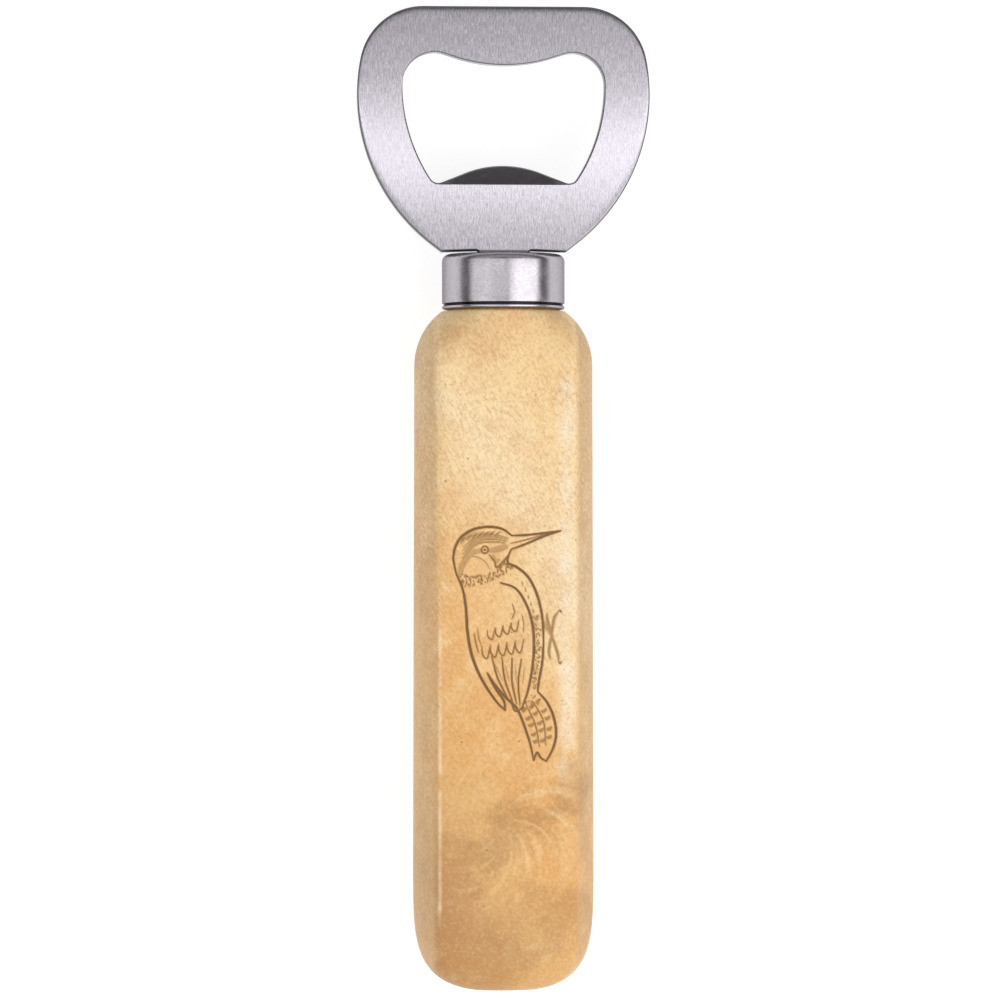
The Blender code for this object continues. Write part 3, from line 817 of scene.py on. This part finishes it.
def make_handle():
    """Rings x = r cos a, z = axis + r sin a, with the front pressed in by the burnt depth."""
    y, shrink, share, round_r = handle_rows()
    full = section(y)
    reach = shrink[:, None] * (full * share[:, None] + round_r[:, None] * (1 - share[:, None]))
    x = reach * np.cos(column_angles)
    z = AXIS_Z + reach * np.sin(column_angles)
    places = np.broadcast_to(y[:, None], x.shape)
    burn = np.zeros_like(x)
    front = (np.abs(x - DRAWING_X) < PATCH_HALF_X) & (z > AXIS_Z + 0.9 * HALF_THICK) & (share[:, None] == 1)
    front &= np.abs(places - DRAWING_Y) < PATCH_HALF_Y
    burn[front] = burnt_depth((x[front] - DRAWING_X) / MM, (places[front] - DRAWING_Y) / MM)
    z = z - ENGRAVED * burn
    handle = ring_mesh("wooden_handle", np.stack([x, places, z], axis=-1), tyre=False)
    store_mark(handle, "burn", np.concatenate([burn.ravel(), [0, 0]]))
    face_outwards(handle)
    return handle


handle = make_handle()

# %% [markdown]
# ## Materials
# Colours are written as sRGB hex values, as a painter reads them off, and Blender wants linear
# light, so one function turns them over. One other function adds a node of any kind, sets it up,
# links it and hands back its output, so a material reads as a list of what feeds what.

# %% Two small helpers for shaders
def linear(code):
    """sRGB hex to linear RGBA: c / 12.92 below 0.04045, else ((c + 0.055) / 1.055) ^ 2.4."""
    parts = [int(code[i:i + 2], 16) / 255 for i in (0, 2, 4)]
    return tuple(c / 12.92 if c <= 0.04045 else ((c + 0.055) / 1.055) ** 2.4 for c in parts) + (1.0,)


def add(tree, kind, inputs, output=0, stops=(), **settings):
    """Add a node and return one output. Inputs are values, hex colours or other outputs.

    Settings are the node's own properties; stops are the (position, hex) pairs of a colour ramp.
    """
    node = tree.nodes.new("ShaderNode" + kind)
    for key, value in settings.items():
        setattr(node, key, value)
    for key, value in inputs.items():
        if isinstance(value, bpy.types.NodeSocket):
            tree.links.new(value, node.inputs[key])
        else:
            node.inputs[key].default_value = linear(value) if isinstance(value, str) else value
    for place, (position, code) in enumerate(stops):
        elements = node.color_ramp.elements
        element = elements[place] if place < len(elements) else elements.new(position)
        element.position = position
        element.color = linear(code)
    return node.outputs[output]


def finish_with(name, settings):
    """A new material whose Principled shader has these constant values."""
    material = bpy.data.materials.new(name)
    material.use_nodes = True
    shader = material.node_tree.nodes["Principled BSDF"]
    for key, value in settings.items():
        shader.inputs[key].default_value = value
    return material, material.node_tree, shader


def in_millimetres(tree, turn=0.0, stretch=(1, 1, 1)):
    """Object coordinates in mm, turned by some degrees about Z, then divided by stretch."""
    place = add(tree, "TexCoord", {}, "Object")
    turned = add(tree, "Mapping", {"Vector": place, "Rotation": (0, 0, math.radians(turn))})
    return add(tree, "Mapping", {"Vector": turned, "Scale": tuple(1000 / s for s in stretch)})


# %% [markdown]
# The handle is a light, close-grained hardwood such as mango wood, sawn slantwise to its grain,
# sanded, burnt by a laser and rubbed with a thin clear lacquer. The eye sees a soft gloss, cream
# wood that turns to honey towards the butt and the left, and pinkish brown clouds where the grain
# dives. The board's figure is laid out first: how far along its own slanting length a point is.

# %% The figure of the board
def board_colour(tree, place, across, along):
    """Colour by slanted length along + 1.3 across, warped by clouds 16 mm wide."""
    cloud = add(tree, "TexNoise", {"Vector": place, "Scale": 1 / 16, "Detail": 3.0})
    warp = add(tree, "MapRange", {"Value": cloud, "From Min": 0.3, "From Max": 0.7,
                                  "To Min": -7, "To Max": 7})
    slant = add(tree, "Math", {0: across, 1: 1.3, 2: along}, operation="MULTIPLY_ADD")
    length = add(tree, "Math", {0: slant, 1: warp}, operation="ADD")
    share = add(tree, "MapRange", {"Value": length, "From Min": BUTT_Y / MM, "From Max": WOOD_TOP_Y / MM})
    return add(tree, "ValToRGB", {"Fac": share}, stops=[
        (0.00, "B8834B"), (0.15, "DDAC6A"), (0.30, "E3A961"), (0.44, "EAB26C"),
        (0.58, "F3C98C"), (0.72, "FBE0B3"), (0.86, "FBD9A2"), (1.00, "F8D298"),
    ])


def bell(tree, value, centre, half_width):
    """1 at the centre, falling smoothly to 0 at half_width to either side."""
    off = add(tree, "Math", {0: value, 1: centre}, operation="SUBTRACT")
    size = add(tree, "Math", {0: off}, operation="ABSOLUTE")
    return add(tree, "MapRange", {"Value": size, "From Min": 0.0, "From Max": half_width,
                                  "To Min": 1.0, "To Max": 0.0}, interpolation_type="SMOOTHSTEP")


# %% [markdown]
# Over that lie the marks of this one piece of wood. A brown cloud crosses the lower half on a
# slant, another darkens the butt, and below the first the grain opens in a fan of pale curls.
# The fan is noise in polar form: fast round the angle and slow along the radius.

# %% Clouds and the fan of curls
def cloud_marks(tree, colour, place, across, along):
    """Mix brown bands at slanted heights, and a pale fan below the crotch of the grain."""
    fray = add(tree, "TexNoise", {"Vector": place, "Scale": 1 / 7, "Detail": 6.0, "Roughness": 0.66})
    shift = add(tree, "MapRange", {"Value": fray, "From Min": 0.3, "From Max": 0.7,
                                   "To Min": -6, "To Max": 6})
    slant = add(tree, "Math", {0: across, 1: -0.6, 2: along}, operation="MULTIPLY_ADD")
    frayed = add(tree, "Math", {0: slant, 1: shift}, operation="ADD")
    for centre, half_width, strength, code in (
        (-50.5, 6.5, 0.72, "B88448"), (-70.0, 8.5, 0.70, "BC8A4C"), (27.5, 4.0, 0.30, "E0B07A"),
    ):
        band = bell(tree, frayed, centre, half_width)
        amount = add(tree, "Math", {0: band, 1: strength}, operation="MULTIPLY")
        colour = add(tree, "Mix", {0: amount, 6: colour, 7: code}, 2, data_type="RGBA")

    crotch_x, crotch_y, reach = -1.0, -49.0, 12.0
    east = add(tree, "Math", {0: across, 1: crotch_x}, operation="SUBTRACT")
    south = add(tree, "Math", {0: crotch_y, 1: along}, operation="SUBTRACT")
    angle = add(tree, "Math", {0: east, 1: south}, operation="ARCTAN2")
    both = add(tree, "CombineXYZ", {0: east, 1: south})
    radius = add(tree, "VectorMath", {0: both}, "Value", operation="LENGTH")
    bent = add(tree, "Math", {0: radius, 1: 0.09, 2: angle}, operation="MULTIPLY_ADD")
    spoke = add(tree, "Math", {0: bent, 1: 4.2}, operation="MULTIPLY")
    slow = add(tree, "Math", {0: radius, 1: 0.12}, operation="MULTIPLY")
    polar = add(tree, "CombineXYZ", {0: spoke, 1: slow})
    curls = add(tree, "TexNoise", {"Vector": polar, "Scale": 1.0, "Detail": 2.0})
    pale = add(tree, "MapRange", {"Value": curls, "From Min": 0.5, "From Max": 0.68, "To Max": 0.75})
    ring = bell(tree, radius, reach * 0.62, reach * 0.62)
    side = add(tree, "MapRange", {"Value": angle, "From Min": -0.9, "From Max": -0.1})
    where = add(tree, "Math", {0: ring, 1: side}, operation="MULTIPLY")
    amount = add(tree, "Math", {0: pale, 1: where}, operation="MULTIPLY")
    return add(tree, "Mix", {0: amount, 6: colour, 7: "F3CD93"}, 2, data_type="RGBA")


# %% [markdown]
# A cream band beside the right-hand crease is partly sapwood and partly a painted sheen, and the thin cream
# line on the left crease is a painted highlight. The rounded sides, cut across other rings, are greyer and
# pinker than the flat, and painted darker: partly their own tone, partly painted shade.

# %% Sapwood, painted sheen and highlight, and painted shade on the sides
def edge_marks(tree, colour, place, across, along):
    """Cream near each crease, sapwood and painted sheen on the right, a painted highlight on the left;
    painted shade on the sides, paler to the left and the butt.
    """
    fray = add(tree, "TexNoise", {"Vector": place, "Scale": 1 / 4, "Detail": 3.0})
    rough = add(tree, "MapRange", {"Value": fray, "From Min": 0.3, "From Max": 0.65})
    # The right band is partly sapwood and partly a painted sheen; the left line is a painted highlight
    # along the crease.
    sapwood_and_painted_highlights = (
        (9.0, 2.3, 0.8, (-44, -38), (21, 16), "FFF0D6"),
        (-10.15, 0.5, 0.8, (-66, -62), (-14, -19), "FFE9C0"),
    )
    for centre, half_width, strength, foot_end, head_end, code in sapwood_and_painted_highlights:
        amount = bell(tree, across, centre, half_width)
        for nothing, full in (foot_end, head_end):
            fade = add(tree, "MapRange", {"Value": along, "From Min": nothing, "From Max": full})
            amount = add(tree, "Math", {0: amount, 1: fade}, operation="MULTIPLY")
        amount = add(tree, "Math", {0: amount, 1: rough}, operation="MULTIPLY")
        amount = add(tree, "Math", {0: amount, 1: strength}, operation="MULTIPLY")
        colour = add(tree, "Mix", {0: amount, 6: colour, 7: code}, 2, data_type="RGBA")
    # The sides are painted darker, partly their own tone and partly painted shade, and darker still towards
    # the right and the head end.
    off_axis = add(tree, "Math", {0: across}, operation="ABSOLUTE")
    beyond = add(tree, "MapRange", {"Value": off_axis, "From Min": 10.3, "From Max": 11.2, "To Max": 0.6})
    patches = add(tree, "TexNoise", {"Vector": place, "Scale": 1 / 6, "Detail": 4.0, "Roughness": 0.6})
    leftward = add(tree, "Math", {0: across, 1: -0.013, 2: patches}, operation="MULTIPLY_ADD")
    shade = add(tree, "Math", {0: along, 1: -0.004, 2: leftward}, operation="MULTIPLY_ADD")
    side_tone_and_painted_shade = add(tree, "ValToRGB", {"Fac": shade}, stops=[(0.34, "B1885A"), (0.89, "E6C08C")])
    return add(tree, "Mix", {0: beyond, 6: colour, 7: side_tone_and_painted_shade}, 2, data_type="RGBA")


# %% [markdown]
# Close to, the wood is full of fine slanting flecks where its pores were cut: about 0.2 mm wide
# and 1 mm long, leaning some 30 degrees from the length. They are dense and faint in the upper
# half and rare below. Sanding leaves a dust of fine dots all over, and some bigger pores show as
# dark specks.

# %% Flecks and specks
def grain_marks(tree, colour, place, along):
    """Two sizes of slanting fleck, a dust 0.5 mm across, and specks in 3.4 mm cells."""
    coarse_place = in_millimetres(tree, -28, (0.24, 1.3, 0.8))
    fine_place = in_millimetres(tree, -31, (0.15, 0.8, 0.8))
    coarse = add(tree, "TexNoise", {"Vector": coarse_place, "Scale": 1.0, "Detail": 2.0, "Roughness": 0.6})
    fine = add(tree, "TexNoise", {"Vector": fine_place, "Scale": 1.0, "Detail": 1.0})
    high = add(tree, "MapRange", {"Value": along, "From Min": -45, "From Max": -5, "To Min": 0.3})
    drift = add(tree, "TexNoise", {"Vector": place, "Scale": 1 / 7, "Detail": 2.0})
    dense = add(tree, "MapRange", {"Value": drift, "From Min": 0.35, "From Max": 0.6, "To Min": 0.45})
    where = add(tree, "Math", {0: high, 1: dense}, operation="MULTIPLY")
    dust = add(tree, "TexNoise", {"Vector": place, "Scale": 1 / 0.5, "Detail": 2.0, "Roughness": 0.7})
    for height, low, top, strength, share, code in (
        (coarse, 0.48, 0.74, 0.46, where, "CB9C5E"),
        (fine, 0.5, 0.72, 0.42, where, "C99A66"),
        (coarse, 0.46, 0.3, 0.32, where, "FFEBCB"),
        (dust, 0.5, 0.72, 0.40, 1.0, "BE8A50"),
        (dust, 0.5, 0.28, 0.15, 1.0, "FFEBC4"),
    ):
        mark = add(tree, "MapRange", {"Value": height, "From Min": low, "From Max": top,
                                      "To Max": strength})
        amount = add(tree, "Math", {0: mark, 1: share}, operation="MULTIPLY")
        colour = add(tree, "Mix", {0: amount, 6: colour, 7: code}, 2, data_type="RGBA")
    cells = add(tree, "TexVoronoi", {"Vector": place, "Scale": 1 / 3.4}, "Distance")
    speck = add(tree, "MapRange", {"Value": cells, "From Min": 0.035, "From Max": 0.06,
                                   "To Min": 0.6, "To Max": 0.0})
    return add(tree, "Mix", {0: speck, 6: colour, 7: "7A5A34"}, 2, data_type="RGBA"), coarse


# %% [markdown]
# The laser leaves scorched brown wood in its grooves, darkest at the walls where the heat stayed.
# The depth stored on each point drives the colour. The lacquer is thin, so the gloss is a satin.

# %% Lacquered hardwood
def lacquered_hardwood():
    """The board, its clouds, blotches 3.6 mm across, its edges with their painted sheen, highlight and side
    shade, and its grain, then the burn.
    """
    material, tree, shader = finish_with("lacquered light hardwood", {"IOR": 1.5})
    place = in_millimetres(tree)
    parts = add(tree, "SeparateXYZ", {"Vector": place}).node
    across, along = parts.outputs["X"], parts.outputs["Y"]
    colour = board_colour(tree, place, across, along)
    colour = cloud_marks(tree, colour, place, across, along)
    blotch_place = in_millimetres(tree, 35, (1.0, 1.7, 1.0))
    blotches = add(tree, "TexNoise", {"Vector": blotch_place, "Scale": 1 / 3.6, "Detail": 4.0,
                                      "Roughness": 0.6})
    upper = add(tree, "MapRange", {"Value": along, "From Min": -50, "From Max": -20, "To Min": 0.3})
    for low, top, strength, code in ((0.50, 0.72, 0.55, "E2AC76"), (0.50, 0.30, 0.50, "FBE0A8")):
        patch = add(tree, "MapRange", {"Value": blotches, "From Min": low, "From Max": top,
                                       "To Max": strength})
        amount = add(tree, "Math", {0: patch, 1: upper}, operation="MULTIPLY")
        colour = add(tree, "Mix", {0: amount, 6: colour, 7: code}, 2, data_type="RGBA")
    colour = edge_marks(tree, colour, place, across, along)
    colour, flecks = grain_marks(tree, colour, place, along)

    burn = add(tree, "Attribute", {}, "Fac", attribute_name="burn")
    browns = [(0.0, "B98C4E"), (0.55, "A0743A"), (1.0, "704818")]
    scorch = add(tree, "ValToRGB", {"Fac": burn}, stops=browns)
    amount = add(tree, "MapRange", {"Value": burn, "From Max": 0.7, "To Max": 0.96})
    burnt = add(tree, "Mix", {0: amount, 6: colour, 7: scorch}, 2, data_type="RGBA")
    tree.links.new(burnt, shader.inputs["Base Color"])
    gloss = add(tree, "MapRange", {"Value": flecks, "From Min": 0.4, "From Max": 0.7,
                                   "To Min": 0.5, "To Max": 0.62})
    tree.links.new(gloss, shader.inputs["Roughness"])
    relief = add(tree, "Bump", {"Height": flecks, "Strength": 0.10, "Distance": 0.00005})
    tree.links.new(relief, shader.inputs["Normal"])
    return material


# %% [markdown]
# The head is stainless steel that was drawn across an abrasive belt, so it carries thousands of
# fine parallel scratches. They make the shine long across the scratches and short along them, which
# the shader calls anisotropy, and they show as faint light and dark lines. A real scratch is a few
# hundredths of a millimetre wide; here they are 0.1 to 0.2 mm, or they wouldn't show at all.
# The punched edges are left as they were: dull and dark. The tang and a hair of the plate above it get the
# same dark grey, partly the unbrushed tang and partly a painted shadow line where the plate meets the
# ferrule.

# %% Brushed stainless steel
def brushed_stainless():
    """Two sizes of scratch added up, which set the tone, the roughness and the relief."""
    settings = {"Metallic": 1.0, "Anisotropic": 1.0}
    material, tree, shader = finish_with("brushed stainless steel", settings)
    uv = add(tree, "UVMap", {}, uv_map="along the brushing")
    heights = []
    for stretch, detail in (((520, 55, 1), 3.0), ((900, 170, 1), 2.0)):
        lines = add(tree, "Mapping", {"Vector": uv, "Scale": stretch})
        grain = {"Vector": lines, "Scale": 1.0, "Detail": detail, "Roughness": 0.6}
        heights.append(add(tree, "TexNoise", grain))
    scratches = add(tree, "Math", {0: heights[0], 1: heights[1]}, operation="ADD")
    tone = add(tree, "MapRange", {"Value": scratches, "From Min": 0.75, "From Max": 1.25})
    grey = add(tree, "ValToRGB", {"Fac": tone}, stops=[(0.0, "97939A"), (1.0, "B4B0B7")])
    sheared = add(tree, "Attribute", {}, "Fac", attribute_name="sheared")
    along = add(tree, "SeparateXYZ", {"Vector": in_millimetres(tree)}, "Y")
    tang_starts = (END_Y - HEAD_LENGTH) / MM
    # Painted shadow line: from 0.42 mm above the shoulder down, the plate and the tang go to the dark grey.
    tang_painted_shadow = add(tree, "MapRange", {"Value": along, "From Min": tang_starts + 0.42,
                                     "From Max": tang_starts + 0.25})
    sheared_and_painted_shadow = add(tree, "Math", {0: sheared, 1: tang_painted_shadow}, operation="MAXIMUM")
    dull_and_shadowed_grey = add(tree, "Mix", {0: sheared_and_painted_shadow, 6: grey, 7: "5C595D"}, 2, data_type="RGBA")
    tree.links.new(dull_and_shadowed_grey, shader.inputs["Base Color"])
    rough = add(tree, "MapRange", {"Value": scratches, "From Min": 0.7, "From Max": 1.3,
                                   "To Min": 0.16, "To Max": 0.21})
    tree.links.new(rough, shader.inputs["Roughness"])
    tangent = add(tree, "Tangent", {}, direction_type="UV_MAP", uv_map="along the brushing")
    tree.links.new(tangent, shader.inputs["Tangent"])
    relief = add(tree, "Bump", {"Height": scratches, "Strength": 0.10, "Distance": 0.00002})
    tree.links.new(relief, shader.inputs["Normal"])
    return material


# %% [markdown]
# The ferrule was drawn and then lightly polished on a lathe. Its satin is finer than the head's,
# so it mirrors the soft lights as clear upright bands with slightly uneven edges.

# %% Satin drawn steel
def satin_drawn_steel():
    """Fine grit for the tone and relief, wider smears for the roughness, dirt and painted shade in the
    groove.
    """
    material, tree, shader = finish_with("satin drawn stainless steel", {"Metallic": 1.0})
    shader.inputs["Specular Tint"].default_value = linear("B4B0B6")
    grit_place = in_millimetres(tree, 0, (0.45, 0.2, 0.45))
    grit = add(tree, "TexNoise", {"Vector": grit_place, "Scale": 1.0, "Detail": 3.0, "Roughness": 0.6})
    grey = add(tree, "ValToRGB", {"Fac": grit}, stops=[(0.35, "B0AAB1"), (0.65, "C0BBC1")])
    along = add(tree, "SeparateXYZ", {"Vector": in_millimetres(tree)}, "Y")
    # The dark grey in the rolled groove is partly dirt and partly painted shade in the recess.
    groove_grime_and_painted_shade = bell(tree, along, (ferrule_low[1] + GROOVE_UP) / MM, 0.34)
    grey_with_grime_and_painted_shade = add(tree, "Mix", {0: groove_grime_and_painted_shade, 6: grey, 7: "3C383A"}, 2, data_type="RGBA")
    tree.links.new(grey_with_grime_and_painted_shade, shader.inputs["Base Color"])
    smear_place = in_millimetres(tree, 0, (1.4, 3.0, 1.4))
    smears = add(tree, "TexNoise", {"Vector": smear_place, "Scale": 1.0, "Detail": 2.0})
    rough = add(tree, "MapRange", {"Value": smears, "From Min": 0.35, "From Max": 0.65,
                                   "To Min": 0.21, "To Max": 0.29})
    tree.links.new(rough, shader.inputs["Roughness"])
    relief = add(tree, "Bump", {"Height": grit, "Strength": 0.08, "Distance": 0.00002})
    tree.links.new(relief, shader.inputs["Normal"])
    return material


# %% [markdown]
# The tang is glued into the bore with epoxy. It is hidden once the opener is together, but it is a
# real piece, so it gets a real finish: cured amber resin, slightly cloudy, with trapped bubbles.

# %% Cured epoxy
def cured_epoxy():
    """Amber clouds 2.5 mm wide and bubbles in 0.8 mm cells."""
    material, tree, shader = finish_with("cured epoxy", {"IOR": 1.55})
    place = in_millimetres(tree)
    cloud = add(tree, "TexNoise", {"Vector": place, "Scale": 1 / 2.5, "Detail": 3.0})
    amber = add(tree, "ValToRGB", {"Fac": cloud}, stops=[(0.3, "B98A4C"), (0.7, "D9B57C")])
    tree.links.new(amber, shader.inputs["Base Color"])
    rough = add(tree, "MapRange", {"Value": cloud, "From Min": 0.3, "From Max": 0.7,
                                   "To Min": 0.2, "To Max": 0.35})
    tree.links.new(rough, shader.inputs["Roughness"])
    bubbles = add(tree, "TexVoronoi", {"Vector": place, "Scale": 1 / 0.8}, "Distance")
    dents = add(tree, "MapRange", {"Value": bubbles, "From Min": 0.1, "From Max": 0.25})
    relief = add(tree, "Bump", {"Height": dents, "Strength": 0.3, "Distance": 0.0001})
    tree.links.new(relief, shader.inputs["Normal"])
    return material


# %% [markdown]
# Each finished piece takes its material, rides on the one body and stands for its CAD node.

# %% Pieces take their places
for piece, material, node, slot in (
    (head, brushed_stainless(), "opener_head", "head_steel"),
    (ferrule, satin_drawn_steel(), "ferrule", "ferrule_steel"),
    (handle, lacquered_hardwood(), "handle", "handle_wood"),
):
    piece.data.materials.append(material)
    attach(piece, "root")
    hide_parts(node)

adhesive = bpy.data.objects["tang_adhesive"]
epoxy = cured_epoxy()
for slot in adhesive.material_slots:
    slot.material = epoxy
print("materials:", [material.name for material in bpy.data.materials])

# %% [markdown]
# ## The studio
# The opener lies on a pale table with large soft lights over it: a bright one to the right, a dim
# one to the left, a thin strip beyond the head and a low one past the foot of the handle. Steel
# shows nothing but what it mirrors, so where the lights are matters more than how strong they
# are. Lights are given by their direction from the opener, in degrees from straight up, and by
# the brightness of their face.

# %% Lights
def softbox(name, lean, distance, size, brightness, shift_y=0.0):
    """A rectangular light facing the opener. Its power is pi times area times brightness."""
    light = bpy.data.lights.new(name, "AREA")
    light.shape = "RECTANGLE"
    light.size, light.size_y = size
    light.energy = math.pi * size[0] * size[1] * brightness
    lamp = bpy.data.objects.new(name, light)
    angle = math.radians(lean)
    lamp.location = (distance * math.sin(angle), shift_y, AXIS_Z + distance * math.cos(angle))
    lamp.rotation_euler = (0, angle, 0)
    bpy.context.scene.collection.objects.link(lamp)
    return lamp


softbox("key softbox", 37.5, 0.80, (0.86, 1.00), 1.80, -0.322)
softbox("fill softbox", -31, 1.05, (1.50, 1.10), 0.82, -0.30)
softbox("strip beyond the head", 0, 0.72, (1.00, 0.028), 1.9, 0.107)
foot = softbox("foot softbox", 0, 0.52, (1.00, 0.55), 0.7, -0.64)
foot.rotation_euler = (math.radians(51), 0, 0)

# %% [markdown]
# A ring of white cloth hangs round the table at half height, which keeps steel from going black
# when it is seen from the side. Below it and straight above it the room is dark.

# %% The room
def room_light():
    """Strength 0.12, but 0.12 + 0.36 where the height of the direction is between 0.5 and 0.8."""
    world = bpy.data.worlds.new("studio")
    world.use_nodes = True
    tree = world.node_tree
    height = add(tree, "SeparateXYZ", {"Vector": add(tree, "TexCoord", {}, "Generated")}, "Z")
    lower = add(tree, "MapRange", {"Value": height, "From Min": 0.28, "From Max": 0.5, "To Max": 0.36})
    upper = add(tree, "MapRange", {"Value": height, "From Min": 0.93, "From Max": 0.8})
    glow = add(tree, "Math", {0: lower, 1: upper, 2: 0.12}, operation="MULTIPLY_ADD")
    background = tree.nodes["Background"]
    background.inputs["Color"].default_value = linear("FFFFFF")
    tree.links.new(glow, background.inputs["Strength"])
    return world


bpy.context.scene.world = room_light()

# %% [markdown]
# The table is a plain pale sheet, a little bright by itself as a light table is, so the shadow
# under the opener stays faint.

# %% The table
def pale_sheet():
    """White light from the sheet itself over a grey that is mottled 30 mm across."""
    settings = {"Roughness": 0.8, "Emission Strength": 0.76}
    material, tree, shader = finish_with("pale light-table sheet", settings)
    shader.inputs["Emission Color"].default_value = linear("FFFFFF")
    mottle = add(tree, "TexNoise", {"Vector": in_millimetres(tree), "Scale": 1 / 30, "Detail": 2.0})
    white = add(tree, "ValToRGB", {"Fac": mottle}, stops=[(0.3, "A6A6A6"), (0.7, "AAAAAA")])
    tree.links.new(white, shader.inputs["Base Color"])
    return material


floor_half = 4.0
corners = [(-floor_half, -floor_half, 0), (floor_half, -floor_half, 0),
           (floor_half, floor_half, 0), (-floor_half, floor_half, 0)]
floor_mesh = bpy.data.meshes.new("table_top")
floor_mesh.from_pydata(corners, [], [(0, 1, 2, 3)])
floor_mesh.materials.append(pale_sheet())
floor = bpy.data.objects.new("table_top", floor_mesh)
bpy.context.scene.collection.objects.link(floor)

# %% [markdown]
# The camera looks straight down from 0.7 m with a long lens, leaning about three degrees to the
# left, with the head end up. The pictures are shown as plain sRGB, so white paper reads as white.

# %% Camera
LEAN = math.radians(3.3)
DISTANCE = 0.700
aim = Vector((-0.5 * MM, -0.27 * MM, AXIS_Z))
camera_data = bpy.data.cameras.new("camera")
camera_data.lens = 165
camera_data.sensor_width = 36
camera_data.clip_start = 0.05
camera = bpy.data.objects.new("camera", camera_data)
camera.location = aim + Vector((-DISTANCE * math.sin(LEAN), 0, DISTANCE * math.cos(LEAN)))
camera.rotation_euler = (0, -LEAN, 0)
bpy.context.scene.collection.objects.link(camera)
bpy.context.scene.camera = camera
bpy.context.scene.view_settings.view_transform = "Standard"
